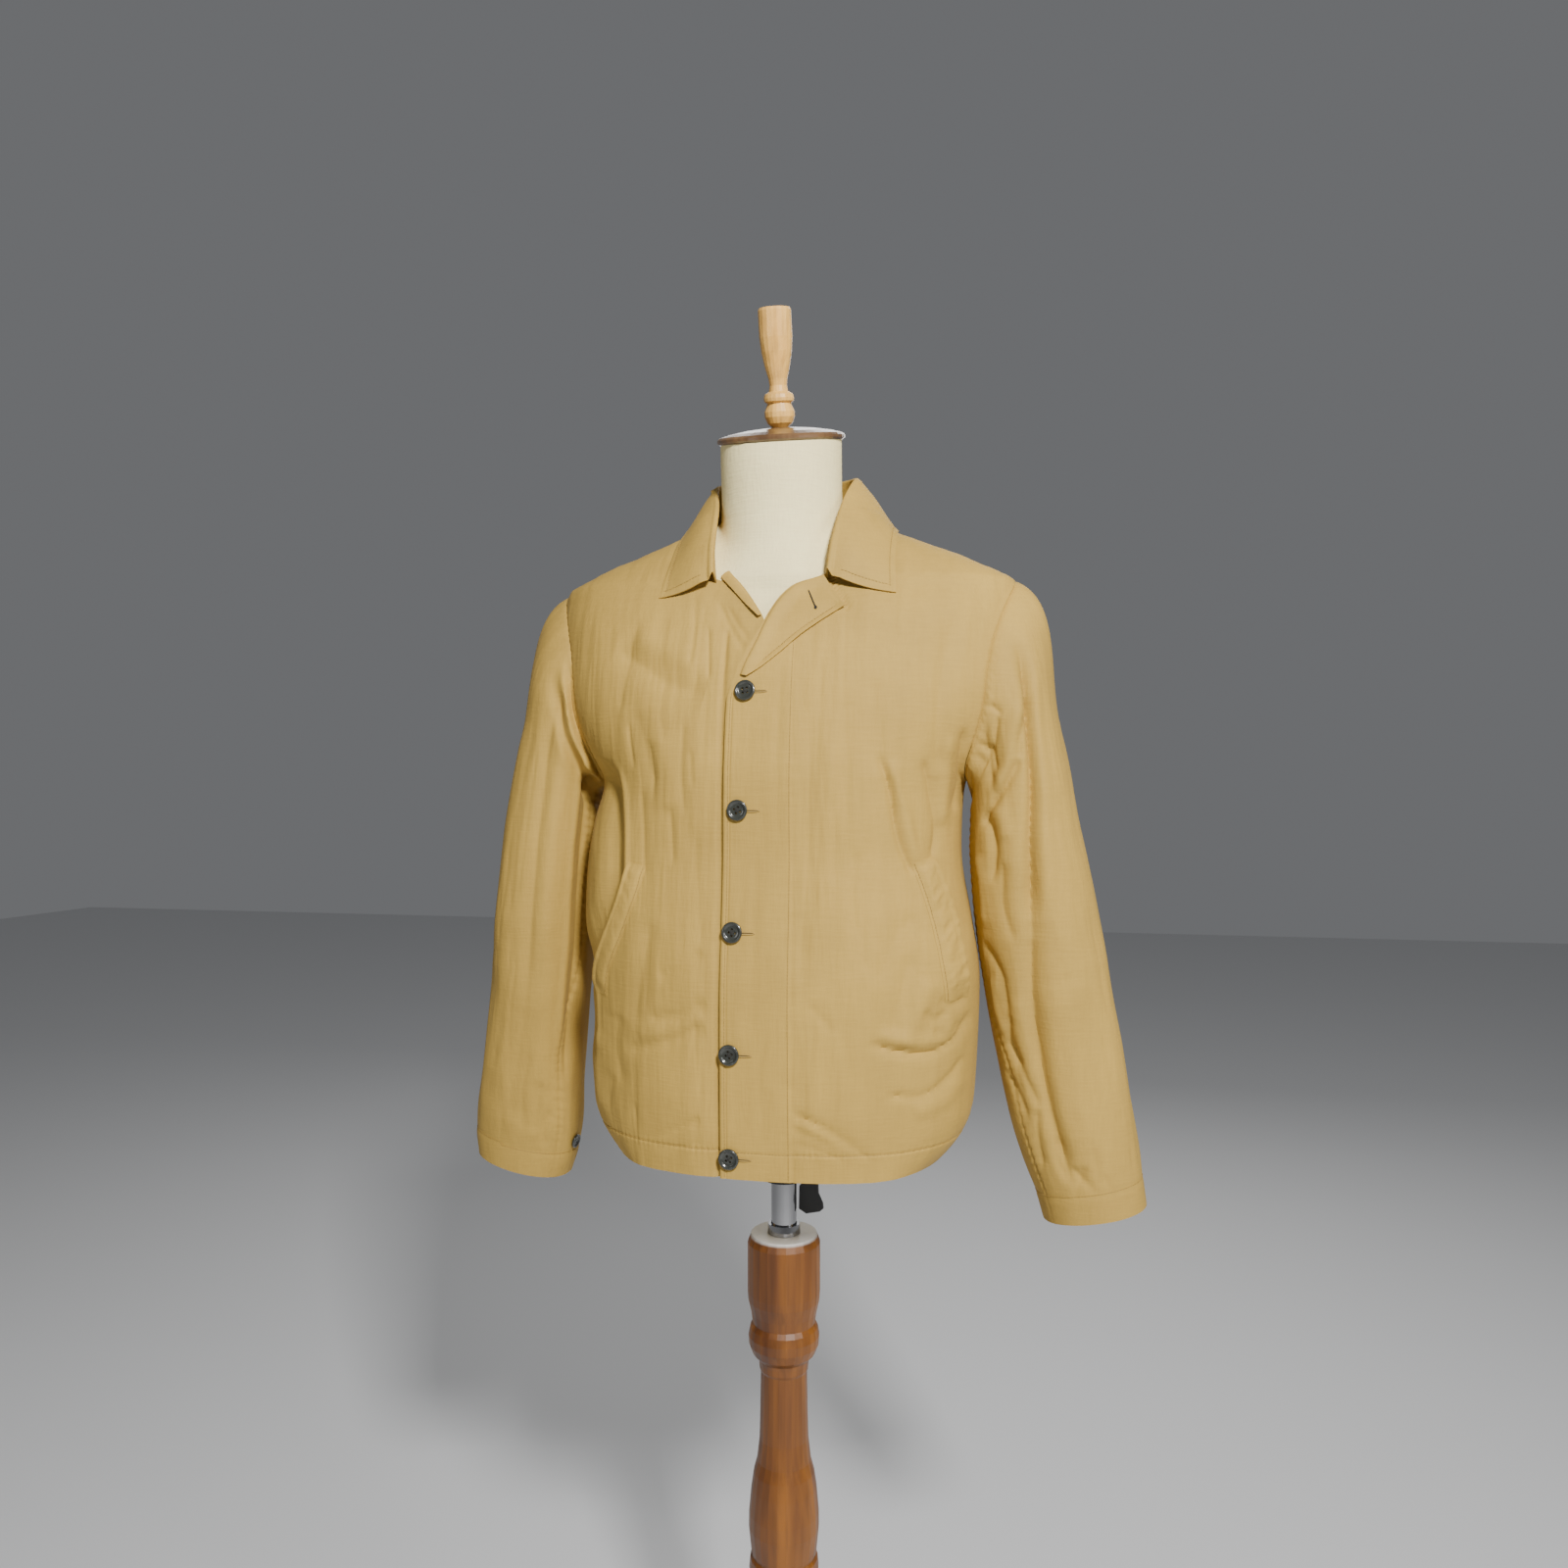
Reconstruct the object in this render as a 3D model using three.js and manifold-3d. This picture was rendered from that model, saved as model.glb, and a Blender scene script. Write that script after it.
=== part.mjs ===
// A light cotton coach jacket with a button front, worn on a limbless dress form on a turned stand.
// Millimetres, +Z up, front of the jacket faces -Y, the wearer's left side is +X, floor at z = 0.
import * as THREE from "three";
import { mergeVertices } from "three/addons/utils/BufferGeometryUtils.js";
import Module from "manifold-3d";

const wasm = await Module();
wasm.setup();

// Cloth
const WALL = 1.4; // wall of one layer of cloth as a solid
const SEAM = 0.3; // gap between two pieces at a seam
const LIE = 0.4; // gap under a piece that lies on a panel

// Jacket
const HEM_Z = 878;
const UNDERARM_Z = 1243;
const ARMHOLE_TOP_Z = 1440;
const NECK_TOP_Z = 1504;
const LAP = 1.95; // how far the right front sits under the left one
const LAP_REACH = 34;
const LAP_FADE = 60;
const FRONT_COLUMNS = 13;
const BACK_COLUMNS = 20;
const ROLL_R = 3.1; // bend of the collar at its roll line
const WELT_HALF = 9.5;
const BUTTON_R = 9.8;
const BUTTON_THICK = 3.4;
const CUFF_BUTTON_R = 7.5;

// Form and stand
const FORM_BOTTOM_Z = 893;
const FORM_HALF_MOST = 203; // where the form is cut off at the arms
const NECK_TILT = 15; // degrees the neck plate leans forward
const NECK_TOP_Y = -14;
const NECK_PLATE_Z = 1584;
const POLE_R = 13;
const POLE_TOP_Z = 1290;
const BORE_R = 13.1;
const BORE_TOP_Z = 1320;
const COLUMN_TOP_Z = 783;
const FLANGE_R = 16.8;
const FLANGE_H = 10;
const CLAMP_R = 21;
const CLAMP_LOW_Z = 838;
const CLAMP_HIGH_Z = 892.7;
const LEVER_PIVOT = [29, 852];
const BASE_R = 210;
const BASE_H = 30;

// Sections of the jacket's body: half width to the wearer's left and right, depth in front and
// behind, middle, squareness.
const BODY = [
  { z: 840, left: 182, right: 187, front: 130, back: 124, mid: 0, n: 2.3 },
  { z: 878, left: 185, right: 190, front: 130, back: 124, mid: 0, n: 2.3 },
  { z: 950, left: 193, right: 196, front: 133, back: 126, mid: 0, n: 2.3 },
  { z: 1050, left: 197, right: 202, front: 135, back: 124, mid: 0, n: 2.3 },
  { z: 1110, left: 189, right: 204, front: 130, back: 116, mid: 0, n: 2.3 },
  { z: 1174, left: 179, right: 201, front: 126, back: 111, mid: 0, n: 2.3 },
  { z: 1211, left: 180, right: 192, front: 127, back: 111, mid: 0, n: 2.3 },
  { z: 1243, left: 183, right: 183, front: 127, back: 112, mid: 0, n: 2.3 },
  { z: 1255, left: 188, right: 188, front: 127, back: 113, mid: 0, n: 2.3 },
  { z: 1268, left: 197, right: 197, front: 126, back: 114, mid: 1, n: 2.3 },
  { z: 1296, left: 214, right: 214, front: 124, back: 115, mid: 2, n: 2.3 },
  { z: 1332, left: 227, right: 227, front: 119, back: 115, mid: 3, n: 2.3 },
  { z: 1380, left: 232, right: 232, front: 107, back: 113, mid: 4, n: 2.3 },
  { z: 1410, left: 234, right: 234, front: 96, back: 110, mid: 5, n: 2.25 },
  { z: 1430, left: 234, right: 234, front: 85, back: 105, mid: 6, n: 2.2 },
  { z: 1440, left: 231, right: 231, front: 79, back: 102, mid: 6, n: 2.2 },
  { z: 1446, left: 223, right: 223, front: 75, back: 100, mid: 6, n: 2.15 },
  { z: 1453, left: 208, right: 208, front: 70, back: 97, mid: 6, n: 2.15 },
  { z: 1475, left: 156, right: 156, front: 54, back: 88, mid: 6, n: 2.1 },
  { z: 1490, left: 119, right: 119, front: 40, back: 81, mid: 6, n: 2.1 },
  { z: 1500, left: 95, right: 95, front: 30, back: 74, mid: 6, n: 2.1 },
  { z: 1508, left: 76, right: 76, front: 22, back: 67, mid: 6, n: 2.1 },
];

// Armhole seam: how far it stands in front of and behind the middle of the section.
const ARMHOLE = [
  { z: UNDERARM_Z, front: 0, back: 0 },
  { z: 1247, front: 20, back: 21 },
  { z: 1254, front: 33, back: 36 },
  { z: 1268, front: 45, back: 49 },
  { z: 1296, front: 55, back: 62 },
  { z: 1332, front: 60, back: 69 },
  { z: 1368, front: 54, back: 69 },
  { z: 1400, front: 41, back: 60 },
  { z: 1424, front: 23, back: 40 },
  { z: 1436, front: 9, back: 17 },
  { z: ARMHOLE_TOP_Z, front: 0, back: 0 },
];

// Rows of the panels below the underarm and above the shoulder tip.
const LOW_ROWS = [HEM_Z, 900, 930, 965, 1005, 1045, 1080, 1110, 1140, 1174, 1211];
const HIGH_ROWS = [1446, 1453, 1463, 1475, 1486, 1496, NECK_TOP_Z];

// Inner edge of each front: free edge, roll line, then neckline. Distance from the middle.
const LEFT_EDGE = [
  { z: HEM_Z, x: -33 },
  { z: 1045, x: -32 },
  { z: 1211, x: -31 },
  { z: 1318, x: -30 },
  { z: 1330, x: -27 },
  { z: 1346, x: -21 },
  { z: 1366, x: -12 },
  { z: 1381, x: -4 },
  { z: 1395, x: 3 },
  { z: 1410, x: 11 },
  { z: 1421, x: 19 },
  { z: 1428, x: 27 },
  { z: 1434, x: 39 },
  { z: 1439, x: 54 },
  { z: 1455, x: 63 },
  { z: 1475, x: 69 },
  { z: NECK_TOP_Z, x: 75 },
];
const RIGHT_EDGE = [
  { z: HEM_Z, x: 6 },
  { z: 1211, x: 5 },
  { z: 1385, x: 4 },
  { z: 1397, x: 0 },
  { z: 1411, x: -9 },
  { z: 1424, x: -19 },
  { z: 1436, x: -29 },
  { z: 1447, x: -38 },
  { z: 1455, x: -47 },
  { z: 1475, x: -60 },
  { z: NECK_TOP_Z, x: -72 },
];

// Corner of the left front rolled back like a lapel: fold and free edge, from the first button up.
const LAPEL_LEFT = [
  { foldX: -18, foldZ: 1341, edgeX: -11, edgeZ: 1339.5 },
  { foldX: -13, foldZ: 1354, edgeX: 3, edgeZ: 1349 },
  { foldX: -4, foldZ: 1374, edgeX: 18, edgeZ: 1361 },
  { foldX: 3.5, foldZ: 1393, edgeX: 37, edgeZ: 1378 },
  { foldX: 13, foldZ: 1411, edgeX: 56, edgeZ: 1392 },
  { foldX: 28, foldZ: 1427.5, edgeX: 68, edgeZ: 1400 },
  { foldX: 53, foldZ: 1437, edgeX: 77, edgeZ: 1405 },
];
// Narrow turned edge of the right front beside the collar.
const LAPEL_RIGHT = [
  { foldX: -2, foldZ: 1399, edgeX: -4.5, edgeZ: 1397.5 },
  { foldX: -9.5, foldZ: 1411, edgeX: -16, edgeZ: 1408 },
  { foldX: -19.5, foldZ: 1424, edgeX: -28, edgeZ: 1420 },
  { foldX: -29.5, foldZ: 1436, edgeX: -38.5, edgeZ: 1431 },
  { foldX: -39, foldZ: 1446.5, edgeX: -47, edgeZ: 1439.5 },
];

// Collar from its front end to the middle of the back: neckline, roll line and outer edge.
const COLLAR = [
  { nx: 57, ny: -79, nz: 1438, rx: 58, ry: -84, rz: 1443, ex: 123, ey: -76, ez: 1419 },
  { nx: 62, ny: -66, nz: 1454, rx: 60, ry: -76, rz: 1465, ex: 121, ey: -64, ez: 1440 },
  { nx: 67, ny: -51, nz: 1471, rx: 62, ry: -59, rz: 1488, ex: 119, ey: -47, ez: 1461 },
  { nx: 71, ny: -33, nz: 1489, rx: 65, ry: -38, rz: 1512, ex: 118, ey: -26, ez: 1479 },
  { nx: 75, ny: -10, nz: 1503, rx: 68, ry: -14, rz: 1532, ex: 117, ey: -2, ez: 1491 },
  { nx: 76, ny: 14, nz: 1508, rx: 70, ry: 11, rz: 1547, ex: 112, ey: 26, ez: 1494 },
  { nx: 68, ny: 41, nz: 1508, rx: 63, ry: 37, rz: 1554, ex: 94, ey: 57, ez: 1494 },
  { nx: 51, ny: 60, nz: 1507, rx: 46, ry: 55, rz: 1556, ex: 65, ey: 80, ez: 1492 },
  { nx: 26, ny: 73, nz: 1506, rx: 23, ry: 67, rz: 1557, ex: 32, ey: 95, ez: 1490 },
  { nx: 0, ny: 77, nz: 1506, rx: 0, ry: 71, rz: 1557, ex: 0, ey: 99, ez: 1489 },
];
// The right half of the collar lies nearer the neck than the left one: its leaf, and its stand.
const COLLAR_RIGHT_LEAF = 0.87;
const COLLAR_RIGHT_STAND = 0.89;

// Sleeve sections below the armhole: centre, half width, half depth, tilt in degrees.
const SLEEVE_LEFT = [
  { x: 231, y: 8, z: 1262, wide: 57, deep: 60, tilt: 41 },
  { x: 236, y: 8, z: 1228, wide: 56, deep: 58, tilt: 32 },
  { x: 240, y: 8, z: 1190, wide: 56, deep: 56, tilt: 22 },
  { x: 246, y: 10, z: 1150, wide: 58, deep: 54, tilt: 15 },
  { x: 252, y: 13, z: 1110, wide: 60, deep: 52, tilt: 12 },
  { x: 258, y: 17, z: 1070, wide: 61, deep: 51, tilt: 10 },
  { x: 264, y: 21, z: 1030, wide: 61, deep: 50, tilt: 10 },
  { x: 273, y: 28, z: 980, wide: 61, deep: 49, tilt: 10 },
  { x: 283, y: 35, z: 925, wide: 60, deep: 48, tilt: 11 },
  { x: 294, y: 41, z: 878, wide: 57, deep: 47, tilt: 11 },
  { x: 303, y: 45, z: 842, wide: 53, deep: 46, tilt: 11 },
  { x: 309, y: 48, z: 813, wide: 51, deep: 45, tilt: 11 },
];
const SLEEVE_RIGHT = [
  { x: 240, y: 8, z: 1262, wide: 52, deep: 61, tilt: 41 },
  { x: 246, y: 8, z: 1228, wide: 50, deep: 60, tilt: 32 },
  { x: 252, y: 8, z: 1190, wide: 49, deep: 60, tilt: 22 },
  { x: 257, y: 10, z: 1150, wide: 49, deep: 60, tilt: 15 },
  { x: 262, y: 13, z: 1110, wide: 50, deep: 60, tilt: 12 },
  { x: 267, y: 17, z: 1070, wide: 51, deep: 60, tilt: 10 },
  { x: 272, y: 21, z: 1030, wide: 51, deep: 59, tilt: 10 },
  { x: 280, y: 28, z: 980, wide: 53, deep: 56, tilt: 10 },
  { x: 288, y: 35, z: 925, wide: 55, deep: 52, tilt: 11 },
  { x: 294, y: 41, z: 880, wide: 58, deep: 48, tilt: 11 },
  { x: 299, y: 45, z: 850, wide: 57, deep: 45, tilt: 11 },
  { x: 303, y: 48, z: 824, wide: 52, deep: 44, tilt: 13 },
];
const CAP_STEPS = [0.09, 0.22, 0.38, 0.56, 0.78];

// Slanted pocket welts: middle line on the front, from the top end down, by distance outwards.
const WELT_LEFT = [
  { x: 148, z: 1170 },
  { x: 154, z: 1152 },
  { x: 160, z: 1133 },
  { x: 166, z: 1111 },
  { x: 171, z: 1088 },
  { x: 175.5, z: 1063 },
  { x: 179, z: 1038 },
];
const WELT_RIGHT = [
  { x: 121, z: 1164 },
  { x: 126, z: 1145 },
  { x: 134, z: 1123 },
  { x: 144, z: 1100 },
  { x: 154, z: 1078 },
  { x: 162, z: 1057 },
  { x: 165, z: 1036 },
];

// Buttons on the left front, and one on each cuff by its angle round the sleeve.
const BUTTONS = [
  { x: -12, z: 1326 },
  { x: -17, z: 1216 },
  { x: -21, z: 1104 },
  { x: -23, z: 993 },
  { x: -24, z: 897 },
];
const CUFF_BUTTON_ANGLE = { left: 205, right: 172 };
const CUFF_BUTTON_ROW = 10;

// Large soft folds of the body: middle, how it drifts with height, reach, width, depth.
const BODY_FOLDS = [
  { x: 96, drift: -0.1, z: 1330, reach: 90, wide: 15, deep: 2.4 },
  { x: 60, drift: 0.05, z: 1300, reach: 110, wide: 13, deep: 1.6 },
  { x: -92, drift: 0.12, z: 1340, reach: 100, wide: 14, deep: 2.2 },
  { x: -66, drift: 0.03, z: 1350, reach: 80, wide: 11, deep: 1.8 },
  { x: 118, drift: 0.35, z: 1100, reach: 80, wide: 14, deep: 2.6 },
  { x: -128, drift: -0.3, z: 1080, reach: 85, wide: 15, deep: 2.8 },
  { x: 150, drift: 0.1, z: 940, reach: 60, wide: 16, deep: 2.5 },
  { x: -150, drift: -0.15, z: 930, reach: 60, wide: 15, deep: 2.4 },
];
const BACK_FOLDS = [
  { x: 70, drift: 0.15, z: 1180, reach: 120, wide: 18, deep: 3 },
  { x: -64, drift: -0.1, z: 1200, reach: 130, wide: 17, deep: 2.8 },
  { x: 12, drift: 0.03, z: 1010, reach: 110, wide: 20, deep: 2.4 },
  { x: -120, drift: -0.2, z: 1330, reach: 80, wide: 15, deep: 2.6 },
  { x: 124, drift: 0.2, z: 1340, reach: 80, wide: 15, deep: 2.5 },
];
// Large soft folds of the sleeves: angle from the outer side towards the front.
const FOLDS_LEFT = [
  { at: 102, drift: -0.13, z: 1010, reach: 200, wide: 15, deep: 5 },
  { at: 128, drift: -0.05, z: 1170, reach: 60, wide: 13, deep: 3 },
  { at: 250, drift: 0.05, z: 1120, reach: 150, wide: 18, deep: 3.5 },
  { at: 305, drift: -0.04, z: 960, reach: 120, wide: 18, deep: 3 },
];
const FOLDS_RIGHT = [
  { at: 94, drift: 0.01, z: 1130, reach: 170, wide: 14, deep: 4.5 },
  { at: 65, drift: 0.05, z: 990, reach: 120, wide: 18, deep: 2.5 },
  { at: 250, drift: 0.05, z: 1120, reach: 150, wide: 18, deep: 3.5 },
  { at: 310, drift: -0.04, z: 960, reach: 120, wide: 18, deep: 3 },
];

// Ease of the form inside the jacket, from the hem up to the shoulders.
const FORM_EASE = [
  { z: FORM_BOTTOM_Z, gap: 15 },
  { z: 1050, gap: 16 },
  { z: 1174, gap: 14 },
  { z: 1300, gap: 10 },
  { z: 1380, gap: 6 },
  { z: 1430, gap: 3 },
  { z: 1446, gap: 0.8 },
  { z: 1470, gap: 0.5 },
  { z: 1504, gap: 0.6 },
];
const FORM_ROWS = [
  FORM_BOTTOM_Z, 899, 930, 980, 1050, 1110, 1174, 1243, 1290, 1332, 1370, 1400, 1420, 1434, 1441, 1446,
  1453, 1463, 1475, 1488, 1498, 1504,
];
const NECK = [
  { z: 1400, r: 84 },
  { z: 1430, r: 78 },
  { z: 1460, r: 69 },
  { z: 1482, r: 64.5 },
  { z: 1505, r: 62 },
  { z: 1535, r: 60.8 },
  { z: NECK_PLATE_Z, r: 61 },
];
const PLATE = [
  { r: 0, h: 0 },
  { r: 62, h: 0 },
  { r: 64.5, h: 2 },
  { r: 64.5, h: 4.5 },
  { r: 62.5, h: 6.6 },
  { r: 52, h: 9.6 },
  { r: 34, h: 12.6 },
  { r: 13, h: 14.4 },
  { r: 0, h: 14.4 },
];
const FINIAL = [
  { r: 0, h: 0 },
  { r: 8, h: 0 },
  { r: 12.6, h: 4 },
  { r: 15.2, h: 10 },
  { r: 15.2, h: 15 },
  { r: 12.4, h: 21.5 },
  { r: 12, h: 23 },
  { r: 14.9, h: 25 },
  { r: 15.2, h: 28 },
  { r: 14.4, h: 31.5 },
  { r: 9.6, h: 34.5 },
  { r: 8.6, h: 40 },
  { r: 9.4, h: 46 },
  { r: 12.6, h: 58 },
  { r: 15.2, h: 72 },
  { r: 16.4, h: 85 },
  { r: 16.4, h: 110 },
  { r: 15.2, h: 112.5 },
  { r: 0, h: 113 },
];
const COLUMN = [
  { r: 0, z: 30.3 },
  { r: 38, z: 30.3 },
  { r: 38, z: 62 },
  { r: 33, z: 78 },
  { r: 26, z: 120 },
  { r: 24.5, z: 200 },
  { r: 27, z: 300 },
  { r: 30, z: 400 },
  { r: 30.5, z: 424 },
  { r: 35, z: 432 },
  { r: 35.5, z: 444 },
  { r: 34.5, z: 454 },
  { r: 32.5, z: 457 },
  { r: 33.5, z: 462 },
  { r: 35.9, z: 485 },
  { r: 35.7, z: 500 },
  { r: 33.4, z: 525 },
  { r: 31, z: 541 },
  { r: 27.6, z: 553 },
  { r: 25, z: 575 },
  { r: 24.2, z: 605 },
  { r: 23.6, z: 643 },
  { r: 24.8, z: 646 },
  { r: 25.4, z: 652 },
  { r: 26.2, z: 656 },
  { r: 32, z: 662 },
  { r: 35.6, z: 671 },
  { r: 36.2, z: 680 },
  { r: 34.6, z: 688 },
  { r: 32, z: 693 },
  { r: 33.4, z: 703 },
  { r: 36.4, z: 716 },
  { r: 37, z: 724 },
  { r: 37, z: 774 },
  { r: 33.6, z: COLUMN_TOP_Z },
  { r: 0, z: COLUMN_TOP_Z },
];

const COLOUR = {
  cloth: 0xb79c66,
  facing: 0xb0955f,
  linen: 0xeadfb8,
  honey: 0xb9853f,
  walnut: 0x7a5730,
  column: 0x8a4f26,
  chrome: 0xb8bcc0,
  black: 0x1a1a1a,
  button: 0x3a4038,
};

const root = new THREE.Group();

function vec(x, y, z) {
  return new THREE.Vector3(x, y, z);
}

// Smooth value of one named column of a table, without overshoot.
function along(rows, key, at, by = "z") {
  const last = rows.length - 1;
  if (at <= rows[0][by]) return rows[0][key];
  if (at >= rows[last][by]) return rows[last][key];
  let i = 0;
  while (at > rows[i + 1][by]) i += 1;
  const rise = (k) => (rows[k + 1][key] - rows[k][key]) / (rows[k + 1][by] - rows[k][by]);
  const slope = (k) => {
    if (k <= 0) return rise(0);
    if (k >= last) return rise(last - 1);
    const before = rise(k - 1);
    const after = rise(k);
    return before * after <= 0 ? 0 : (2 * before * after) / (before + after);
  };
  const h = rows[i + 1][by] - rows[i][by];
  const t = (at - rows[i][by]) / h;
  const s = 1 - t;
  return (
    rows[i][key] * (1 + 2 * t) * s * s +
    rows[i + 1][key] * t * t * (3 - 2 * t) +
    slope(i) * h * t * s * s -
    slope(i + 1) * h * t * t * s
  );
}

function fade(from, to, at) {
  const t = Math.min(1, Math.max(0, (at - from) / (to - from)));
  return t * t * (3 - 2 * t);
}

// Section at a height, with the half width on the side of x.
function section(z, x) {
  return {
    half: along(BODY, x < 0 ? "right" : "left", z),
    front: along(BODY, "front", z),
    back: along(BODY, "back", z),
    mid: along(BODY, "mid", z),
    n: along(BODY, "n", z),
  };
}

// Point of the jacket's outer face at an angle from the middle of the front.
function bodyPoint(phi, z) {
  const sin = Math.sin(phi);
  const cos = Math.cos(phi);
  const s = section(z, sin);
  const x = s.half * Math.sign(sin) * Math.abs(sin) ** (2 / s.n);
  const deep = cos >= 0 ? s.front : s.back;
  return vec(x, s.mid - deep * Math.sign(cos) * Math.abs(cos) ** (2 / s.n), z);
}

function angleAtX(x, z) {
  const s = section(z, x);
  const share = Math.min(1, Math.abs(x) / s.half);
  return Math.sign(x) * Math.asin(share ** (s.n / 2));
}

// Angle of the armhole seam, side seam or shoulder seam at a height.
function outerAngle(z, face) {
  if (z <= UNDERARM_Z || z >= ARMHOLE_TOP_Z) return Math.PI / 2;
  const s = section(z, 1);
  const share = along(ARMHOLE, face, z) / s[face];
  return Math.acos(Math.min(1, share) ** (s.n / 2));
}

function level(p) {
  const s = section(p.z, p.x);
  const deep = p.y < s.mid ? s.front : s.back;
  return (Math.abs(p.x) / s.half) ** s.n + (Math.abs(p.y - s.mid) / deep) ** s.n - 1;
}

function gradient(p) {
  const e = 0.05;
  const d = (v) => (level(p.clone().add(v)) - level(p.clone().sub(v))) / (2 * e);
  return vec(d(vec(e, 0, 0)), d(vec(0, e, 0)), d(vec(0, 0, e)));
}

function outward(p) {
  return gradient(p).normalize();
}

// Moves a point along the surface normal until it stands off the outer face by a distance.
function lift(p, off) {
  const q = p.clone();
  for (let i = 0; i < 6; i += 1) {
    const g = gradient(q);
    const long = g.length();
    q.addScaledVector(g.divideScalar(long), off - level(q) / long);
  }
  return q;
}

// Point on the front at a given x and height, standing off the outer face.
function onFront(x, z, off) {
  return bodyPoint(angleAtX(x, z), z).addScaledVector(outward(bodyPoint(angleAtX(x, z), z)), off);
}

function foldDepth(rows, key, at, z) {
  let sum = 0;
  for (const f of rows) {
    const middle = f[key] + f.drift * (z - f.z);
    const across = (at - middle) / f.wide;
    const up = (z - f.z) / f.reach;
    sum += f.deep * Math.exp(-across * across) * Math.exp(-up * up * up * up);
  }
  return sum;
}

// A wall between two grids of points. Both have the same rows; a tube closes across its columns.
function wall(outer, inner, tube) {
  const rows = outer.length;
  const columns = outer[0].length;
  const position = [];
  for (const grid of [outer, inner]) {
    for (const row of grid) {
      for (const p of row) position.push(p.x, p.y, p.z);
    }
  }
  const index = [];
  const id = (face, r, c) => face * rows * columns + r * columns + (c % columns);
  const quad = (a, b, c, d) => index.push(a, b, c, a, c, d);
  const across = tube ? columns : columns - 1;
  for (let r = 0; r < rows - 1; r += 1) {
    for (let c = 0; c < across; c += 1) {
      quad(id(0, r, c), id(0, r, c + 1), id(0, r + 1, c + 1), id(0, r + 1, c));
      quad(id(1, r, c), id(1, r + 1, c), id(1, r + 1, c + 1), id(1, r, c + 1));
    }
  }
  for (let c = 0; c < across; c += 1) {
    quad(id(0, 0, c), id(1, 0, c), id(1, 0, c + 1), id(0, 0, c + 1));
    const t = rows - 1;
    quad(id(0, t, c), id(0, t, c + 1), id(1, t, c + 1), id(1, t, c));
  }
  if (!tube) {
    const e = columns - 1;
    for (let r = 0; r < rows - 1; r += 1) {
      quad(id(0, r, 0), id(0, r + 1, 0), id(1, r + 1, 0), id(1, r, 0));
      quad(id(0, r, e), id(1, r, e), id(1, r + 1, e), id(0, r + 1, e));
    }
  }
  return closed(position, index);
}

// A solid through closed rings, capped at both ends.
function loft(rings) {
  const columns = rings[0].length;
  const position = [];
  for (const ring of rings) {
    for (const p of ring) position.push(p.x, p.y, p.z);
  }
  const index = [];
  for (let r = 0; r < rings.length - 1; r += 1) {
    for (let c = 0; c < columns; c += 1) {
      const d = (c + 1) % columns;
      const a = r * columns;
      const b = a + columns;
      index.push(a + c, a + d, b + d, a + c, b + d, b + c);
    }
  }
  for (const [ring, end] of [[0, 0], [rings.length - 1, 1]]) {
    const middle = vec(0, 0, 0);
    for (const p of rings[ring]) middle.add(p);
    middle.divideScalar(columns);
    const m = position.length / 3;
    position.push(middle.x, middle.y, middle.z);
    for (let c = 0; c < columns; c += 1) {
      const a = ring * columns + c;
      const b = ring * columns + ((c + 1) % columns);
      if (end) index.push(a, b, m);
      else index.push(b, a, m);
    }
  }
  return closed(position, index);
}

// Geometry from points and triangles, turned so that its faces point out.
function closed(position, index) {
  let volume = 0;
  const at = (i) => vec(position[3 * i], position[3 * i + 1], position[3 * i + 2]);
  for (let i = 0; i < index.length; i += 3) {
    volume += at(index[i]).dot(at(index[i + 1]).cross(at(index[i + 2])));
  }
  if (volume < 0) {
    for (let i = 0; i < index.length; i += 3) {
      [index[i + 1], index[i + 2]] = [index[i + 2], index[i + 1]];
    }
  }
  const g = new THREE.BufferGeometry();
  g.setAttribute("position", new THREE.Float32BufferAttribute(position, 3));
  g.setIndex(index);
  return g;
}

function toSolid(geometry) {
  const bare = geometry.index ? geometry.toNonIndexed() : geometry.clone();
  const own = new THREE.BufferGeometry();
  own.setAttribute("position", bare.getAttribute("position"));
  const merged = mergeVertices(own, 1e-4);
  return new wasm.Manifold(
    new wasm.Mesh({
      numProp: 3,
      vertProperties: new Float32Array(merged.attributes.position.array),
      triVerts: new Uint32Array(merged.index.array),
    }),
  );
}

function fromSolid(solid) {
  const mesh = solid.getMesh();
  const g = new THREE.BufferGeometry();
  g.setAttribute("position", new THREE.BufferAttribute(mesh.vertProperties.slice(), 3));
  g.setIndex(new THREE.BufferAttribute(mesh.triVerts.slice(), 1));
  return g;
}

function add(name, geometry, colour, roughness, metalness = 0) {
  const material = new THREE.MeshStandardMaterial({ color: colour, roughness, metalness });
  const mesh = new THREE.Mesh(geometry, material);
  mesh.name = name;
  root.add(mesh);
  return mesh;
}

function mirrored(p, side) {
  return vec(p.x * side, p.y, p.z);
}

// Draws the edge points of a grid back by half a seam.
function insetGrid(grid, sides) {
  const rows = grid.length;
  const columns = grid[0].length;
  const pull = (edge, next) => {
    const d = next.clone().sub(edge);
    edge.addScaledVector(d.normalize(), SEAM / 2);
  };
  for (let r = 0; r < rows; r += 1) {
    if (sides.includes("first")) pull(grid[r][0], grid[r][1]);
    if (sides.includes("last")) pull(grid[r][columns - 1], grid[r][columns - 2]);
  }
  for (let c = 0; c < columns; c += 1) {
    if (sides.includes("bottom")) pull(grid[0][c], grid[1][c]);
    if (sides.includes("top")) pull(grid[rows - 1][c], grid[rows - 2][c]);
  }
}

const ROWS = [...LOW_ROWS, ...ARMHOLE.map((row) => row.z), ...HIGH_ROWS];

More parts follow.
